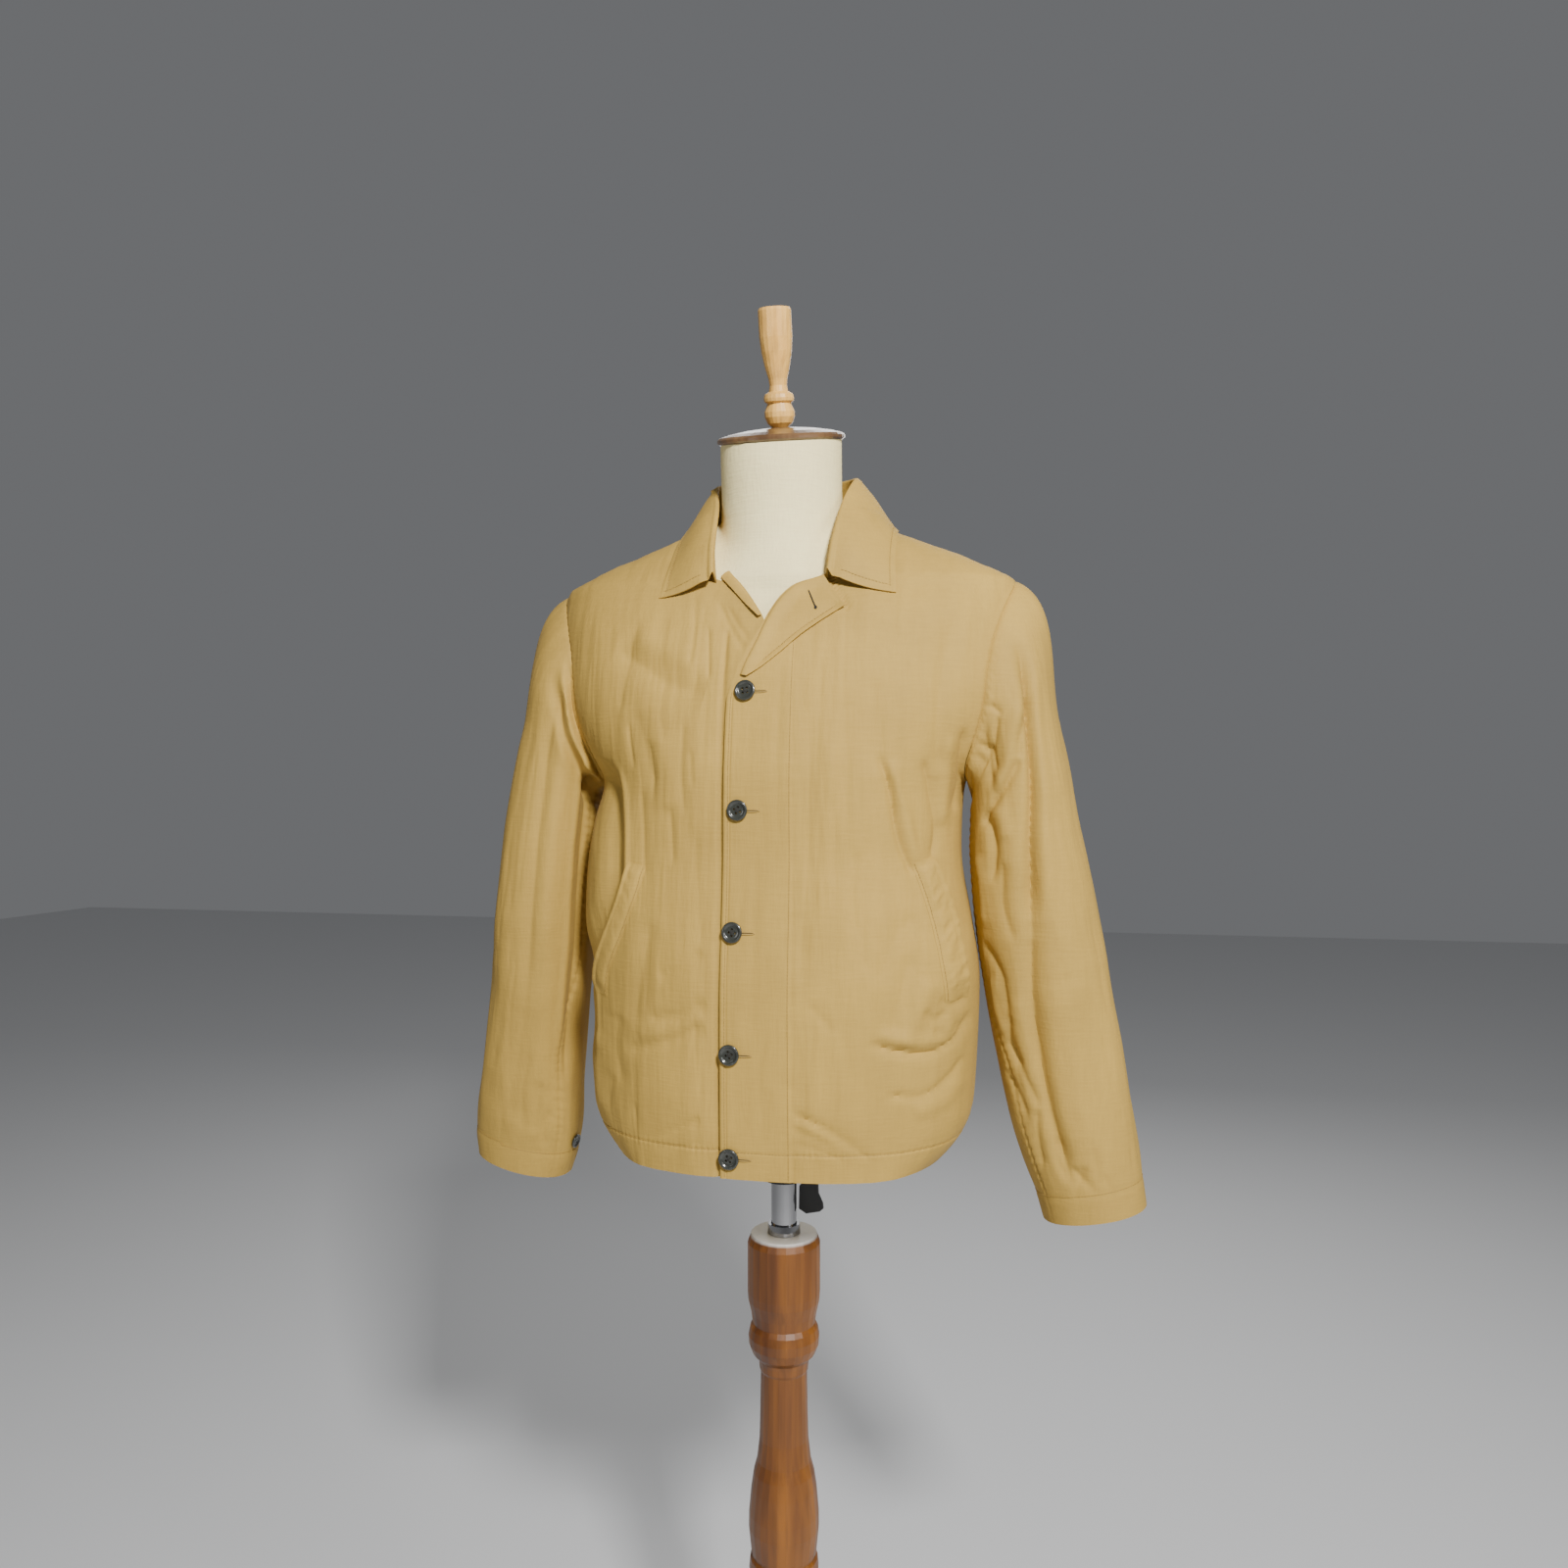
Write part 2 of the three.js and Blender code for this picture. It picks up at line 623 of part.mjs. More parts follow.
// How far a front's cloth is moved from the plain outer face, inwards.
function frontSink(x, z) {
  const quiet = fade(34, 70, Math.abs(x)) * (1 - fade(1385, 1430, z));
  return foldDepth(BODY_FOLDS, "x", x, z) * quiet;
}

function frontPanel(side, edge) {
  const outer = [];
  for (const z of ROWS) {
    const from = angleAtX(along(edge, "x", z), z);
    const to = side * outerAngle(z, "front");
    const row = [];
    for (let c = 0; c <= FRONT_COLUMNS; c += 1) {
      row.push(bodyPoint(from + ((to - from) * c) / FRONT_COLUMNS, z));
    }
    outer.push(row);
  }
  insetGrid(outer, ["last"]);
  const inner = [];
  outer.forEach((row, r) => {
    const own = [];
    row.forEach((p, c) => {
      const n = outward(p);
      let sink = c < FRONT_COLUMNS ? frontSink(p.x, p.z) : 0;
      if (side < 0) sink += LAP * (1 - fade(LAP_REACH, LAP_FADE, -p.x)) * (1 - fade(1400, 1420, p.z));
      outer[r][c] = p.clone().addScaledVector(n, -sink);
      own.push(outer[r][c].clone().addScaledVector(n, -WALL));
    });
    inner.push(own);
  });
  return wall(outer, inner, false);
}

function backPanel() {
  const outer = [];
  for (const z of ROWS) {
    const half = outerAngle(z, "back");
    const row = [];
    for (let c = 0; c <= BACK_COLUMNS; c += 1) {
      const t = (2 * c) / BACK_COLUMNS - 1;
      row.push(bodyPoint(Math.PI + t * half, z));
    }
    outer.push(row);
  }
  insetGrid(outer, ["first", "last"]);
  const inner = outer.map((row) =>
    row.map((p, c) => {
      const n = outward(p);
      const edge = c === 0 || c === BACK_COLUMNS;
      const quiet = fade(0, 30, NECK_TOP_Z - p.z);
      p.addScaledVector(n, edge ? 0 : -foldDepth(BACK_FOLDS, "x", p.x, p.z) * quiet);
      return p.clone().addScaledVector(n, -WALL);
    }),
  );
  return wall(outer, inner, false);
}

// Loop of the armhole seam from the shoulder tip down the front and up the back.
function armholeLoop() {
  const zs = ARMHOLE.map((row) => row.z);
  const loop = [];
  for (let i = zs.length - 1; i >= 0; i -= 1) loop.push(bodyPoint(outerAngle(zs[i], "front"), zs[i]));
  for (let i = 1; i < zs.length - 1; i += 1) {
    loop.push(bodyPoint(Math.PI - outerAngle(zs[i], "back"), zs[i]));
  }
  return loop;
}

// Angle round the sleeve for each point of the armhole, by length along the seam.
function loopAngles(loop) {
  const bottom = ARMHOLE.length - 1;
  const part = (from, to) => {
    const length = [0];
    for (let i = from; i < to; i += 1) {
      length.push(length.at(-1) + loop[i].distanceTo(loop[(i + 1) % loop.length]));
    }
    return length.map((l) => l / length.at(-1));
  };
  const down = part(0, bottom).map((t) => Math.PI * t);
  const up = part(bottom, loop.length).map((t) => Math.PI * (1 + t));
  return [...down, ...up.slice(1, -1)];
}

function sleeveRing(row, angles) {
  const tilt = (row.tilt * Math.PI) / 180;
  return angles.map((a) => {
    const c = Math.cos(a);
    const s = Math.sin(a);
    const w = row.wide * Math.sign(c) * Math.abs(c) ** 0.92;
    const d = row.deep * Math.sign(s) * Math.abs(s) ** 0.92;
    return vec(row.x + w * Math.cos(tilt), row.y - d, row.z + w * Math.sin(tilt));
  });
}

function sleeveGrid(table) {
  const loop = armholeLoop();
  const angles = loopAngles(loop);
  const first = sleeveRing(table[0], angles);
  const next = sleeveRing(table[1], angles);
  const grid = [loop.map((p) => p.clone())];
  for (const t of CAP_STEPS) {
    grid.push(
      loop.map((p, i) => {
        const high = (1 + Math.cos(angles[i])) / 2;
        const span = first[i].distanceTo(p);
        const leave = vec(0.5 + 0.6 * high, -0.25 * Math.sin(angles[i]), -1 + 0.6 * high);
        leave.normalize().multiplyScalar(span);
        const arrive = next[i].clone().sub(first[i]).normalize().multiplyScalar(span * 1.1);
        const s = 1 - t;
        return p
          .clone()
          .multiplyScalar((1 + 2 * t) * s * s)
          .addScaledVector(first[i], t * t * (3 - 2 * t))
          .addScaledVector(leave, t * s * s)
          .addScaledVector(arrive, -t * t * s);
      }),
    );
  }
  for (const row of table) grid.push(sleeveRing(row, angles));
  return { grid, angles };
}

function gridNormal(grid, r, c) {
  const columns = grid[0].length;
  const up = grid[Math.min(r + 1, grid.length - 1)][c].clone();
  up.sub(grid[Math.max(r - 1, 0)][c]);
  const along2 = grid[r][(c + 1) % columns].clone();
  along2.sub(grid[r][(c + columns - 1) % columns]);
  return along2.cross(up).normalize();
}

function sleeve(side, table, folds) {
  const { grid, angles } = sleeveGrid(table);
  const normals = grid.map((row, r) => row.map((p, c) => (r ? gridNormal(grid, r, c) : outward(p))));
  const half = CAP_STEPS.length + 1 + Math.floor(table.length / 2);
  const across = grid[half][0].clone().sub(grid[half][Math.floor(angles.length / 2)]);
  const turn = across.dot(normals[half][0]) < 0 ? -1 : 1;
  const outer = [];
  const inner = [];
  grid.forEach((row, r) => {
    const own = [];
    const back = [];
    row.forEach((p, c) => {
      const n = normals[r][c].clone().multiplyScalar(r ? turn : 1);
      const degrees = (angles[c] * 180) / Math.PI;
      const q = p.clone();
      if (r === 0) {
        q.addScaledVector(grid[1][c].clone().sub(p).normalize(), SEAM);
        q.addScaledVector(n, (WALL + LIE) * fade(1300, 1268, p.z));
      } else {
        const quiet = fade(1300, 1240, p.z) * fade(815, 860, p.z);
        q.addScaledVector(n, -foldDepth(folds, "at", degrees, p.z) * quiet);
      }
      own.push(mirrored(q, side));
      back.push(mirrored(q.clone().addScaledVector(n, -WALL), side));
    });
    outer.push(own);
    inner.push(back);
  });
  return wall(outer, inner, true);
}

// The collar as one wall: up from the neckline, over the roll line and down to its edge.
function collarProfile(row, side) {
  const near = side < 0 ? COLLAR_RIGHT_STAND + (1 - COLLAR_RIGHT_STAND) * fade(-40, 15, row.ny) : 1;
  const base = lift(vec(row.nx * near, row.ny, row.nz), LIE + 0.6);
  const top = vec(row.rx * near, row.ry, row.rz);
  const leaf = side < 0 ? COLLAR_RIGHT_LEAF + (1 - COLLAR_RIGHT_LEAF) * fade(60, 95, row.ey) : 1;
  const edge = lift(vec(row.ex * leaf, row.ey, row.ez), WALL + 1.2);
  const up = top.clone().sub(base).normalize();
  const out = edge.clone().sub(top);
  out.addScaledVector(up, -out.dot(up)).normalize();
  const points = [];
  for (const t of [0, 0.35, 0.7, 1]) points.push(base.clone().lerp(top, t));
  for (const deg of [35, 75, 115, 150]) {
    const a = (deg * Math.PI) / 180;
    points.push(
      top
        .clone()
        .addScaledVector(out, ROLL_R * (1 - Math.cos(a)))
        .addScaledVector(up, ROLL_R * Math.sin(a)),
    );
  }
  const start = points.at(-1).clone();
  const bulge = start.distanceTo(edge) * 0.1;
  for (const t of [0.14, 0.3, 0.47, 0.64, 0.82, 1]) {
    const p = start.clone().lerp(edge, t);
    const n = outward(p);
    p.addScaledVector(n, bulge * Math.sin(Math.PI * t) * (1 - t));
    const off = level(p) / gradient(p).length();
    const least = WALL + 1.2;
    points.push(off < least ? lift(p, least) : p);
  }
  return points.map((p) => mirrored(p, side));
}

function collar() {
  const rows = [];
  for (let i = 0; i < COLLAR.length; i += 1) rows.push(collarProfile(COLLAR[i], 1));
  for (let i = COLLAR.length - 2; i >= 0; i -= 1) rows.push(collarProfile(COLLAR[i], -1));
  const inner = rows.map((row, r) =>
    row.map((p, c) => {
      const last = rows.length - 1;
      const a = rows[Math.min(r + 1, last)][c].clone().sub(rows[Math.max(r - 1, 0)][c]);
      const b = row[Math.min(c + 1, row.length - 1)].clone().sub(row[Math.max(c - 1, 0)]);
      return p.clone().addScaledVector(b.cross(a).normalize(), -WALL);
    }),
  );
  return wall(rows, inner, false);
}

// A strip that lies on the front between a fold and a free edge.
function lapel(table, off) {
  const across = [0, 0.25, 0.5, 0.75, 1];
  const outer = table.map((row) =>
    across.map((t) => {
      const x = row.foldX + (row.edgeX - row.foldX) * t;
      const z = row.foldZ + (row.edgeZ - row.foldZ) * t;
      const raised = 1.1 * Math.sin(Math.PI * t) * (1 - t);
      return onFront(x, z, off + WALL + raised);
    }),
  );
  const inner = outer.map((row) => row.map((p) => p.clone().addScaledVector(outward(p), -WALL)));
  return wall(outer, inner, false);
}

function welt(side, table) {
  const outer = table.map((row, i) => {
    const a = table[Math.max(0, i - 1)];
    const b = table[Math.min(table.length - 1, i + 1)];
    const long = Math.hypot(b.x - a.x, b.z - a.z);
    const sx = (-(b.z - a.z) / long) * WELT_HALF;
    const sz = ((b.x - a.x) / long) * WELT_HALF;
    return [-1, -0.33, 0.33, 1].map((t) => {
      const x = side * (row.x + sx * t);
      const z = row.z + sz * t;
      return onFront(x, z, LIE + WALL + 0.25);
    });
  });
  const inner = outer.map((row) => row.map((p) => p.clone().addScaledVector(outward(p), -WALL)));
  return wall(outer, inner, false);
}

// A disc turned from a profile, set on a point with its back to the cloth.
function disc(radius, thick, at, facing) {
  const rim = radius - 1.6;
  const profile = [
    [0, 0],
    [radius * 0.62, 0],
    [radius, thick * 0.4],
    [radius - 0.3, thick * 0.85],
    [radius - 1, thick],
    [rim, thick * 0.92],
    [rim - 1, thick * 0.62],
    [0, thick * 0.6],
  ];
  const points = profile.map(([r, h]) => new THREE.Vector2(r, h));
  const g = new THREE.LatheGeometry(points, 16);
  g.applyQuaternion(new THREE.Quaternion().setFromUnitVectors(vec(0, 1, 0), facing));
  g.translate(at.x, at.y, at.z);
  return g;
}

function turned(rows, key, segments) {
  const points = rows.map((row) => new THREE.Vector2(row.r, row[key]));
  const g = new THREE.LatheGeometry(points, segments);
  g.rotateX(Math.PI / 2);
  return g;
}

function neckPlace(geometry, up) {
  geometry.rotateX((NECK_TILT * Math.PI) / 180);
  const t = (NECK_TILT * Math.PI) / 180;
  geometry.translate(0, NECK_TOP_Y - up * Math.sin(t), NECK_PLATE_Z + up * Math.cos(t));
  return geometry;
}

function cylinder(radius, low, high, segments) {
  const g = new THREE.CylinderGeometry(radius, radius, high - low, segments);
  g.rotateX(Math.PI / 2);
  g.translate(0, 0, (low + high) / 2);
  return g;
}

function dressForm() {
  const segments = 36;
  const rings = FORM_ROWS.map((z) => {
    const ring = [];
    const inset = WALL + along(FORM_EASE, "gap", z) + (z < 895 ? 5 : 0);
    for (let i = 0; i < segments; i += 1) {
      const side = i > segments / 2 ? -1 : 1;
      const p = bodyPoint((2 * Math.PI * (side < 0 ? segments - i : i)) / segments, z);
      p.addScaledVector(outward(p), -inset);
      const most = FORM_HALF_MOST - 22 * fade(1340, 1240, z);
      const over = Math.abs(p.x) - (most - 14);
      if (over > 0) p.x = Math.sign(p.x) * (most - 14 + 14 * Math.tanh(over / 14));
      ring.push(mirrored(p, side));
    }
    return ring;
  });
  const torso = toSolid(loft(rings));
  const lean = Math.tan((NECK_TILT * Math.PI) / 180);
  const neckRings = NECK.map((row) => {
    const up = fade(1510, NECK_PLATE_Z, row.z);
    const y = NECK_TOP_Y * fade(1440, NECK_PLATE_Z, row.z);
    const ring = [];
    for (let i = 0; i < 36; i += 1) {
      const a = (2 * Math.PI * i) / 36;
      const dy = -row.r * Math.cos(a);
      ring.push(vec(row.r * Math.sin(a), y + dy, row.z + dy * lean * up));
    }
    return ring;
  });
  const neck = toSolid(loft(neckRings));
  const bore = toSolid(cylinder(BORE_R, FORM_BOTTOM_Z - WALL, BORE_TOP_Z, 32));
  return fromSolid(torso.add(neck).subtract(bore));
}

function clampCollar() {
  const ring = [
    [BORE_R, CLAMP_LOW_Z],
    [CLAMP_R, CLAMP_LOW_Z],
    [CLAMP_R, CLAMP_HIGH_Z],
    [BORE_R, CLAMP_HIGH_Z],
    [BORE_R, CLAMP_LOW_Z],
  ];
  const g = new THREE.LatheGeometry(ring.map(([r, h]) => new THREE.Vector2(r, h)), 32);
  g.rotateX(Math.PI / 2);
  const lug = new THREE.BoxGeometry(18, 9, 18);
  lug.translate(CLAMP_R + 6, 0, LEVER_PIVOT[1]);
  const hole = new THREE.CylinderGeometry(2.4, 2.4, 30, 16);
  hole.translate(LEVER_PIVOT[0], 0, LEVER_PIVOT[1]);
  return fromSolid(toSolid(g).add(toSolid(lug)).subtract(toSolid(hole)));
}

function clampLever() {
  const outline = [
    [22.7, 852],
    [24.2, 856.6],
    [29, 858.4],
    [33.8, 856.6],
    [35.4, 852],
    [34, 836],
    [34.5, 822],
    [39, 812],
    [39.5, 807.5],
    [36, 804.5],
    [22, 801.5],
    [14.4, 806],
    [14.8, 829],
    [21.8, 837],
  ];
  const shape = new THREE.Shape(outline.map(([x, z]) => new THREE.Vector2(x, z)));
  const plate = new THREE.ExtrudeGeometry(shape, { depth: 4.5, bevelEnabled: false });
  plate.rotateX(Math.PI / 2);
  plate.translate(0, 9.6, 0);
  const pin = new THREE.CylinderGeometry(2.3, 2.3, 10, 16);
  pin.translate(LEVER_PIVOT[0], 2, LEVER_PIVOT[1]);
  return fromSolid(toSolid(plate).add(toSolid(pin)));
}

// Stand
const base = [
  { r: 0, z: 0 },
  { r: BASE_R - 2, z: 0 },
  { r: BASE_R, z: 2 },
  { r: BASE_R, z: BASE_H - 8 },
  { r: BASE_R - 8, z: BASE_H },
  { r: 0, z: BASE_H },
];
add("base", turned(base, "z", 44), COLOUR.column, 0.4);
add("column", turned(COLUMN, "z", 24), COLOUR.column, 0.38);
const flange = new THREE.LatheGeometry(
  [
    [POLE_R + 0.3, COLUMN_TOP_Z + 0.3],
    [FLANGE_R, COLUMN_TOP_Z + 0.3],
    [FLANGE_R - 0.8, COLUMN_TOP_Z + FLANGE_H],
    [POLE_R + 0.3, COLUMN_TOP_Z + FLANGE_H],
    [POLE_R + 0.3, COLUMN_TOP_Z + 0.3],
  ].map(([r, h]) => new THREE.Vector2(r, h)),
  32,
);
flange.rotateX(Math.PI / 2);
add("pole_flange", flange, COLOUR.chrome, 0.2, 1);
add("pole", cylinder(POLE_R, COLUMN_TOP_Z + 0.3, POLE_TOP_Z, 32), COLOUR.chrome, 0.15, 1);
add("clamp_collar", clampCollar(), COLOUR.black, 0.45);
add("clamp_lever", clampLever(), COLOUR.black, 0.4);

// Form
add("dress_form", dressForm(), COLOUR.linen, 0.9);
add("neck_cap", neckPlace(turned(PLATE, "h", 40), 0.3), COLOUR.walnut, 0.35);
add("finial", neckPlace(turned(FINIAL, "h", 20), 15), COLOUR.honey, 0.35);

// Jacket
add("front_left", frontPanel(1, LEFT_EDGE), COLOUR.cloth, 0.8);
add("front_right", frontPanel(-1, RIGHT_EDGE), COLOUR.cloth, 0.8);
add("back", backPanel(), COLOUR.cloth, 0.8);
add("sleeve_left", sleeve(1, SLEEVE_LEFT, FOLDS_LEFT), COLOUR.cloth, 0.8);
add("sleeve_right", sleeve(-1, SLEEVE_RIGHT, FOLDS_RIGHT), COLOUR.cloth, 0.8);
add("collar", collar(), COLOUR.cloth, 0.8);
add("lapel_left", lapel(LAPEL_LEFT, LIE), COLOUR.facing, 0.8);
add("lapel_right", lapel(LAPEL_RIGHT, LIE), COLOUR.facing, 0.8);
add("pocket_welt_left", welt(1, WELT_LEFT), COLOUR.cloth, 0.8);
add("pocket_welt_right", welt(-1, WELT_RIGHT), COLOUR.cloth, 0.8);
BUTTONS.forEach((b, i) => {
  const at = onFront(b.x, b.z, LIE);
  add("button_" + (i + 1), disc(BUTTON_R, BUTTON_THICK, at, outward(at)), COLOUR.button, 0.3);
});
for (const [name, side, table] of [["left", 1, SLEEVE_LEFT], ["right", -1, SLEEVE_RIGHT]]) {
  const row = table[CUFF_BUTTON_ROW];
  const a = (CUFF_BUTTON_ANGLE[name] * Math.PI) / 180;
  const ring = sleeveRing(row, [a, a + 0.05, a - 0.05]);
  const down = sleeveRing(table[CUFF_BUTTON_ROW + 1], [a])[0].sub(ring[0]);
  const facing = ring[1].clone().sub(ring[2]).cross(down).normalize();
  if (facing.dot(ring[0].clone().sub(vec(row.x, row.y, row.z))) < 0) facing.negate();
  const at = ring[0].clone().addScaledVector(facing, LIE);
  const g = disc(CUFF_BUTTON_R, 3, mirrored(at, side), mirrored(facing, side));
  add("cuff_button_" + name, g, COLOUR.button, 0.3);
}

export default root;
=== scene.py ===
import math

import bmesh
import bpy
import numpy as np
from bpy.props import FloatProperty, FloatVectorProperty, IntProperty, PointerProperty
from mathutils import Matrix, Vector


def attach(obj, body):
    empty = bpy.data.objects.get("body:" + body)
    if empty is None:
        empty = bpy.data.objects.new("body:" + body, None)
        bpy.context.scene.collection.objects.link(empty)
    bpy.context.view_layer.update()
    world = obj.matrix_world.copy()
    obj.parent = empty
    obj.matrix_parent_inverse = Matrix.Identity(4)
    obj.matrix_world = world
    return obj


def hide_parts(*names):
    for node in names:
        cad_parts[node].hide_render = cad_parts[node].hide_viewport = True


bl_info = {
    "name": "Coach jacket on a dress form",
    "version": (1, 0, 0),
    "blender": (4, 5, 0),
    "location": "View3D > Sidebar > Coach jacket",
    "description": "Builds a cotton coach jacket worn on a limbless dress form",
    "category": "Object",
}

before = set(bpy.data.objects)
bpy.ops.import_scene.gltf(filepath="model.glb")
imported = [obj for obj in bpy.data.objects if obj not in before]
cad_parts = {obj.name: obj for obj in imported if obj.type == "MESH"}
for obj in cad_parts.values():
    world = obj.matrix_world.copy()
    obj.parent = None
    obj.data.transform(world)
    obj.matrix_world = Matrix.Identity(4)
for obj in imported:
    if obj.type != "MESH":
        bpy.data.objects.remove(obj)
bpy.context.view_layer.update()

# Sizes are in mm, and heights are from the floor. Blender works in metres.
MM = 0.001
HEM_Z = 878.0
HEM_STITCH_Z = 903.0
UNDERARM_Z = 1243.0
ARMHOLE_TOP_Z = 1440.0
NECK_TOP_Z = 1504.0
NECK_PLATE_Z = 1584.0
NECK_SHIFT = 14
# One layer of cloth, and the gap under a piece that lies on a panel.
WALL = 1.2
LIE = 0.4
# The right front sinks by LAP where the left front lies over it.
LAP = 1.95
LAP_REACH = 34.0
LAP_FADE = 60.0
CUFF_TURN = 28
COLLAR_STITCH = 6
# How far the middle of a row of stitches stands off the cloth.
STITCH_LIFT = 0.3
BUTTON_THICK = 3.4
CUFF_BUTTON_RADIUS = 7.5
CUFF_BUTTON_THICK = 3.0
# The camera's distance from the pole and its height in metres, and its turn in degrees.
CAMERA_AWAY = 1.2
CAMERA_HIGH = 1.24
CAMERA_TURN = 11.75
CAMERA_LENS = 27
CAMERA_SENSOR = 36


def table(names, rows):
    """A short table as one array per named column."""
    columns = np.array(rows, float).T
    return dict(zip(names.split(), columns))


BODY = table(
    "z left right front back mid n",
    [
        (840, 182, 187, 130, 124, 0, 2.3),
        (878, 185, 190, 130, 124, 0, 2.3),
        (950, 193, 196, 133, 126, 0, 2.3),
        (1050, 197, 202, 135, 124, 0, 2.3),
        (1110, 189, 204, 130, 116, 0, 2.3),
        (1174, 179, 201, 126, 111, 0, 2.3),
        (1211, 180, 192, 127, 111, 0, 2.3),
        (1243, 183, 183, 127, 112, 0, 2.3),
        (1255, 188, 188, 127, 113, 0, 2.3),
        (1268, 197, 197, 126, 114, 1, 2.3),
        (1296, 214, 214, 124, 115, 2, 2.3),
        (1332, 227, 227, 119, 115, 3, 2.3),
        (1380, 232, 232, 107, 113, 4, 2.3),
        (1410, 234, 234, 96, 110, 5, 2.25),
        (1430, 234, 234, 85, 105, 6, 2.2),
        (1440, 231, 231, 79, 102, 6, 2.2),
        (1446, 223, 223, 75, 100, 6, 2.15),
        (1453, 208, 208, 70, 97, 6, 2.15),
        (1475, 156, 156, 54, 88, 6, 2.1),
        (1490, 119, 119, 40, 81, 6, 2.1),
        (1500, 95, 95, 30, 74, 6, 2.1),
        (1508, 76, 76, 22, 67, 6, 2.1),
    ],
)
ARMHOLE = table(
    "z front back",
    [
        (1243, 0, 0), (1247, 20, 21), (1254, 33, 36), (1268, 45, 49), (1296, 55, 62),
        (1332, 60, 69), (1368, 54, 69), (1400, 41, 60), (1424, 23, 40), (1436, 9, 17), (1440, 0, 0),
    ],
)
LEFT_EDGE = table(
    "z x",
    [
        (878, -33), (1045, -32), (1211, -31), (1318, -30), (1330, -27), (1346, -21), (1366, -12),
        (1381, -4), (1395, 3), (1410, 11), (1421, 19), (1428, 27), (1434, 39), (1439, 54),
        (1455, 63), (1475, 69), (1504, 75),
    ],
)
RIGHT_EDGE = table(
    "z x",
    [
        (878, 6), (1211, 5), (1385, 4), (1397, 0), (1411, -9), (1424, -19), (1436, -29),
        (1447, -38), (1455, -47), (1475, -60), (1504, -72),
    ],
)
LAPEL_LEFT = table(
    "foldx foldz edgex edgez",
    [
        (-18, 1341, -11, 1339.5),
        (-13, 1354, 3, 1349),
        (-4, 1374, 18, 1361),
        (3.5, 1393, 37, 1378),
        (13, 1411, 56, 1392),
        (28, 1427.5, 68, 1400),
        (53, 1437, 77, 1405),
    ],
)
LAPEL_RIGHT = table(
    "foldx foldz edgex edgez",
    [
        (-2, 1399, -4.5, 1397.5),
        (-9.5, 1411, -16, 1408),
        (-19.5, 1424, -28, 1420),
        (-29.5, 1436, -38.5, 1431),
        (-39, 1446.5, -47, 1439.5),
    ],
)
COLLAR_ROWS = [
    (57, -79, 1438, 58, -84, 1443, 123, -76, 1419),
    (62, -66, 1454, 60, -76, 1465, 121, -64, 1440),
    (67, -51, 1471, 62, -59, 1488, 119, -47, 1461),
    (71, -33, 1489, 65, -38, 1512, 118, -26, 1479),
    (75, -10, 1503, 68, -14, 1532, 117, -2, 1491),
    (76, 14, 1508, 70, 11, 1547, 112, 26, 1494),
    (68, 41, 1508, 63, 37, 1554, 94, 57, 1494),
    (51, 60, 1507, 46, 55, 1556, 65, 80, 1492),
    (26, 73, 1506, 23, 67, 1557, 32, 95, 1490),
    (0, 77, 1506, 0, 71, 1557, 0, 99, 1489),
    (-26, 73, 1506, -23, 67, 1557, -32, 95, 1490),
]
COLLAR = table(
    "at nx ny nz rx ry rz ex ey ez",
    [(i, *row) for i, row in enumerate(COLLAR_ROWS)],
)
COLLAR_RIGHT_LEAF = 0.87
COLLAR_RIGHT_STAND = 0.89
ROLL_R = 3.1
SLEEVE_LEFT = table(
    "x y z wide deep tilt",
    [
        (231, 8, 1262, 57, 60, 41),
        (236, 8, 1228, 56, 58, 32),
        (240, 8, 1190, 56, 56, 22),
        (246, 10, 1150, 58, 54, 15),
        (252, 13, 1110, 60, 52, 12),
        (258, 17, 1070, 61, 51, 10),
        (264, 21, 1030, 61, 50, 10),
        (273, 28, 980, 61, 49, 10),
        (283, 35, 925, 60, 48, 11),
        (294, 41, 878, 57, 47, 11),
        (303, 45, 842, 53, 46, 11),
        (309, 48, 813, 51, 45, 11),
    ],
)
SLEEVE_RIGHT = table(
    "x y z wide deep tilt",
    [
        (240, 8, 1262, 52, 61, 41),
        (246, 8, 1228, 50, 60, 32),
        (252, 8, 1190, 49, 60, 22),
        (257, 10, 1150, 49, 60, 15),
        (262, 13, 1110, 50, 60, 12),
        (267, 17, 1070, 51, 60, 10),
        (272, 21, 1030, 51, 59, 10),
        (280, 28, 980, 53, 56, 10),
        (288, 35, 925, 55, 52, 11),
        (294, 41, 880, 58, 48, 11),
        (299, 45, 850, 57, 45, 11),
        (303, 48, 824, 52, 44, 13),
    ],
)
WELT_LEFT = table(
    "x z",
    [
        (148, 1170), (154, 1152), (160, 1133), (166, 1111), (171, 1088), (175.5, 1063), (179, 1038),
    ],
)
WELT_RIGHT = table(
    "x z",
    [
        (121, 1164), (126, 1145), (134, 1123), (144, 1100), (154, 1078), (162, 1057), (165, 1036),
    ],
)
BUTTONS = table("x z", [(-12, 1326), (-17, 1216), (-21, 1104), (-23, 993), (-24, 897)])
CUFF_ANGLE = {"left": 205, "right": 172}
CUFF_ROW = 10
FORM_EASE = table(
    "z gap",
    [
        (893, 15), (1050, 16), (1174, 14), (1300, 10), (1380, 6), (1430, 3), (1446, 0.8),
        (1470, 0.5), (1504, 0.6),
    ],
)
NECK = table(
    "z r",
    [
        (1400, 84), (1430, 78), (1460, 69), (1482, 64.5), (1505, 62), (1535, 60.8), (1584, 61),
    ],
)

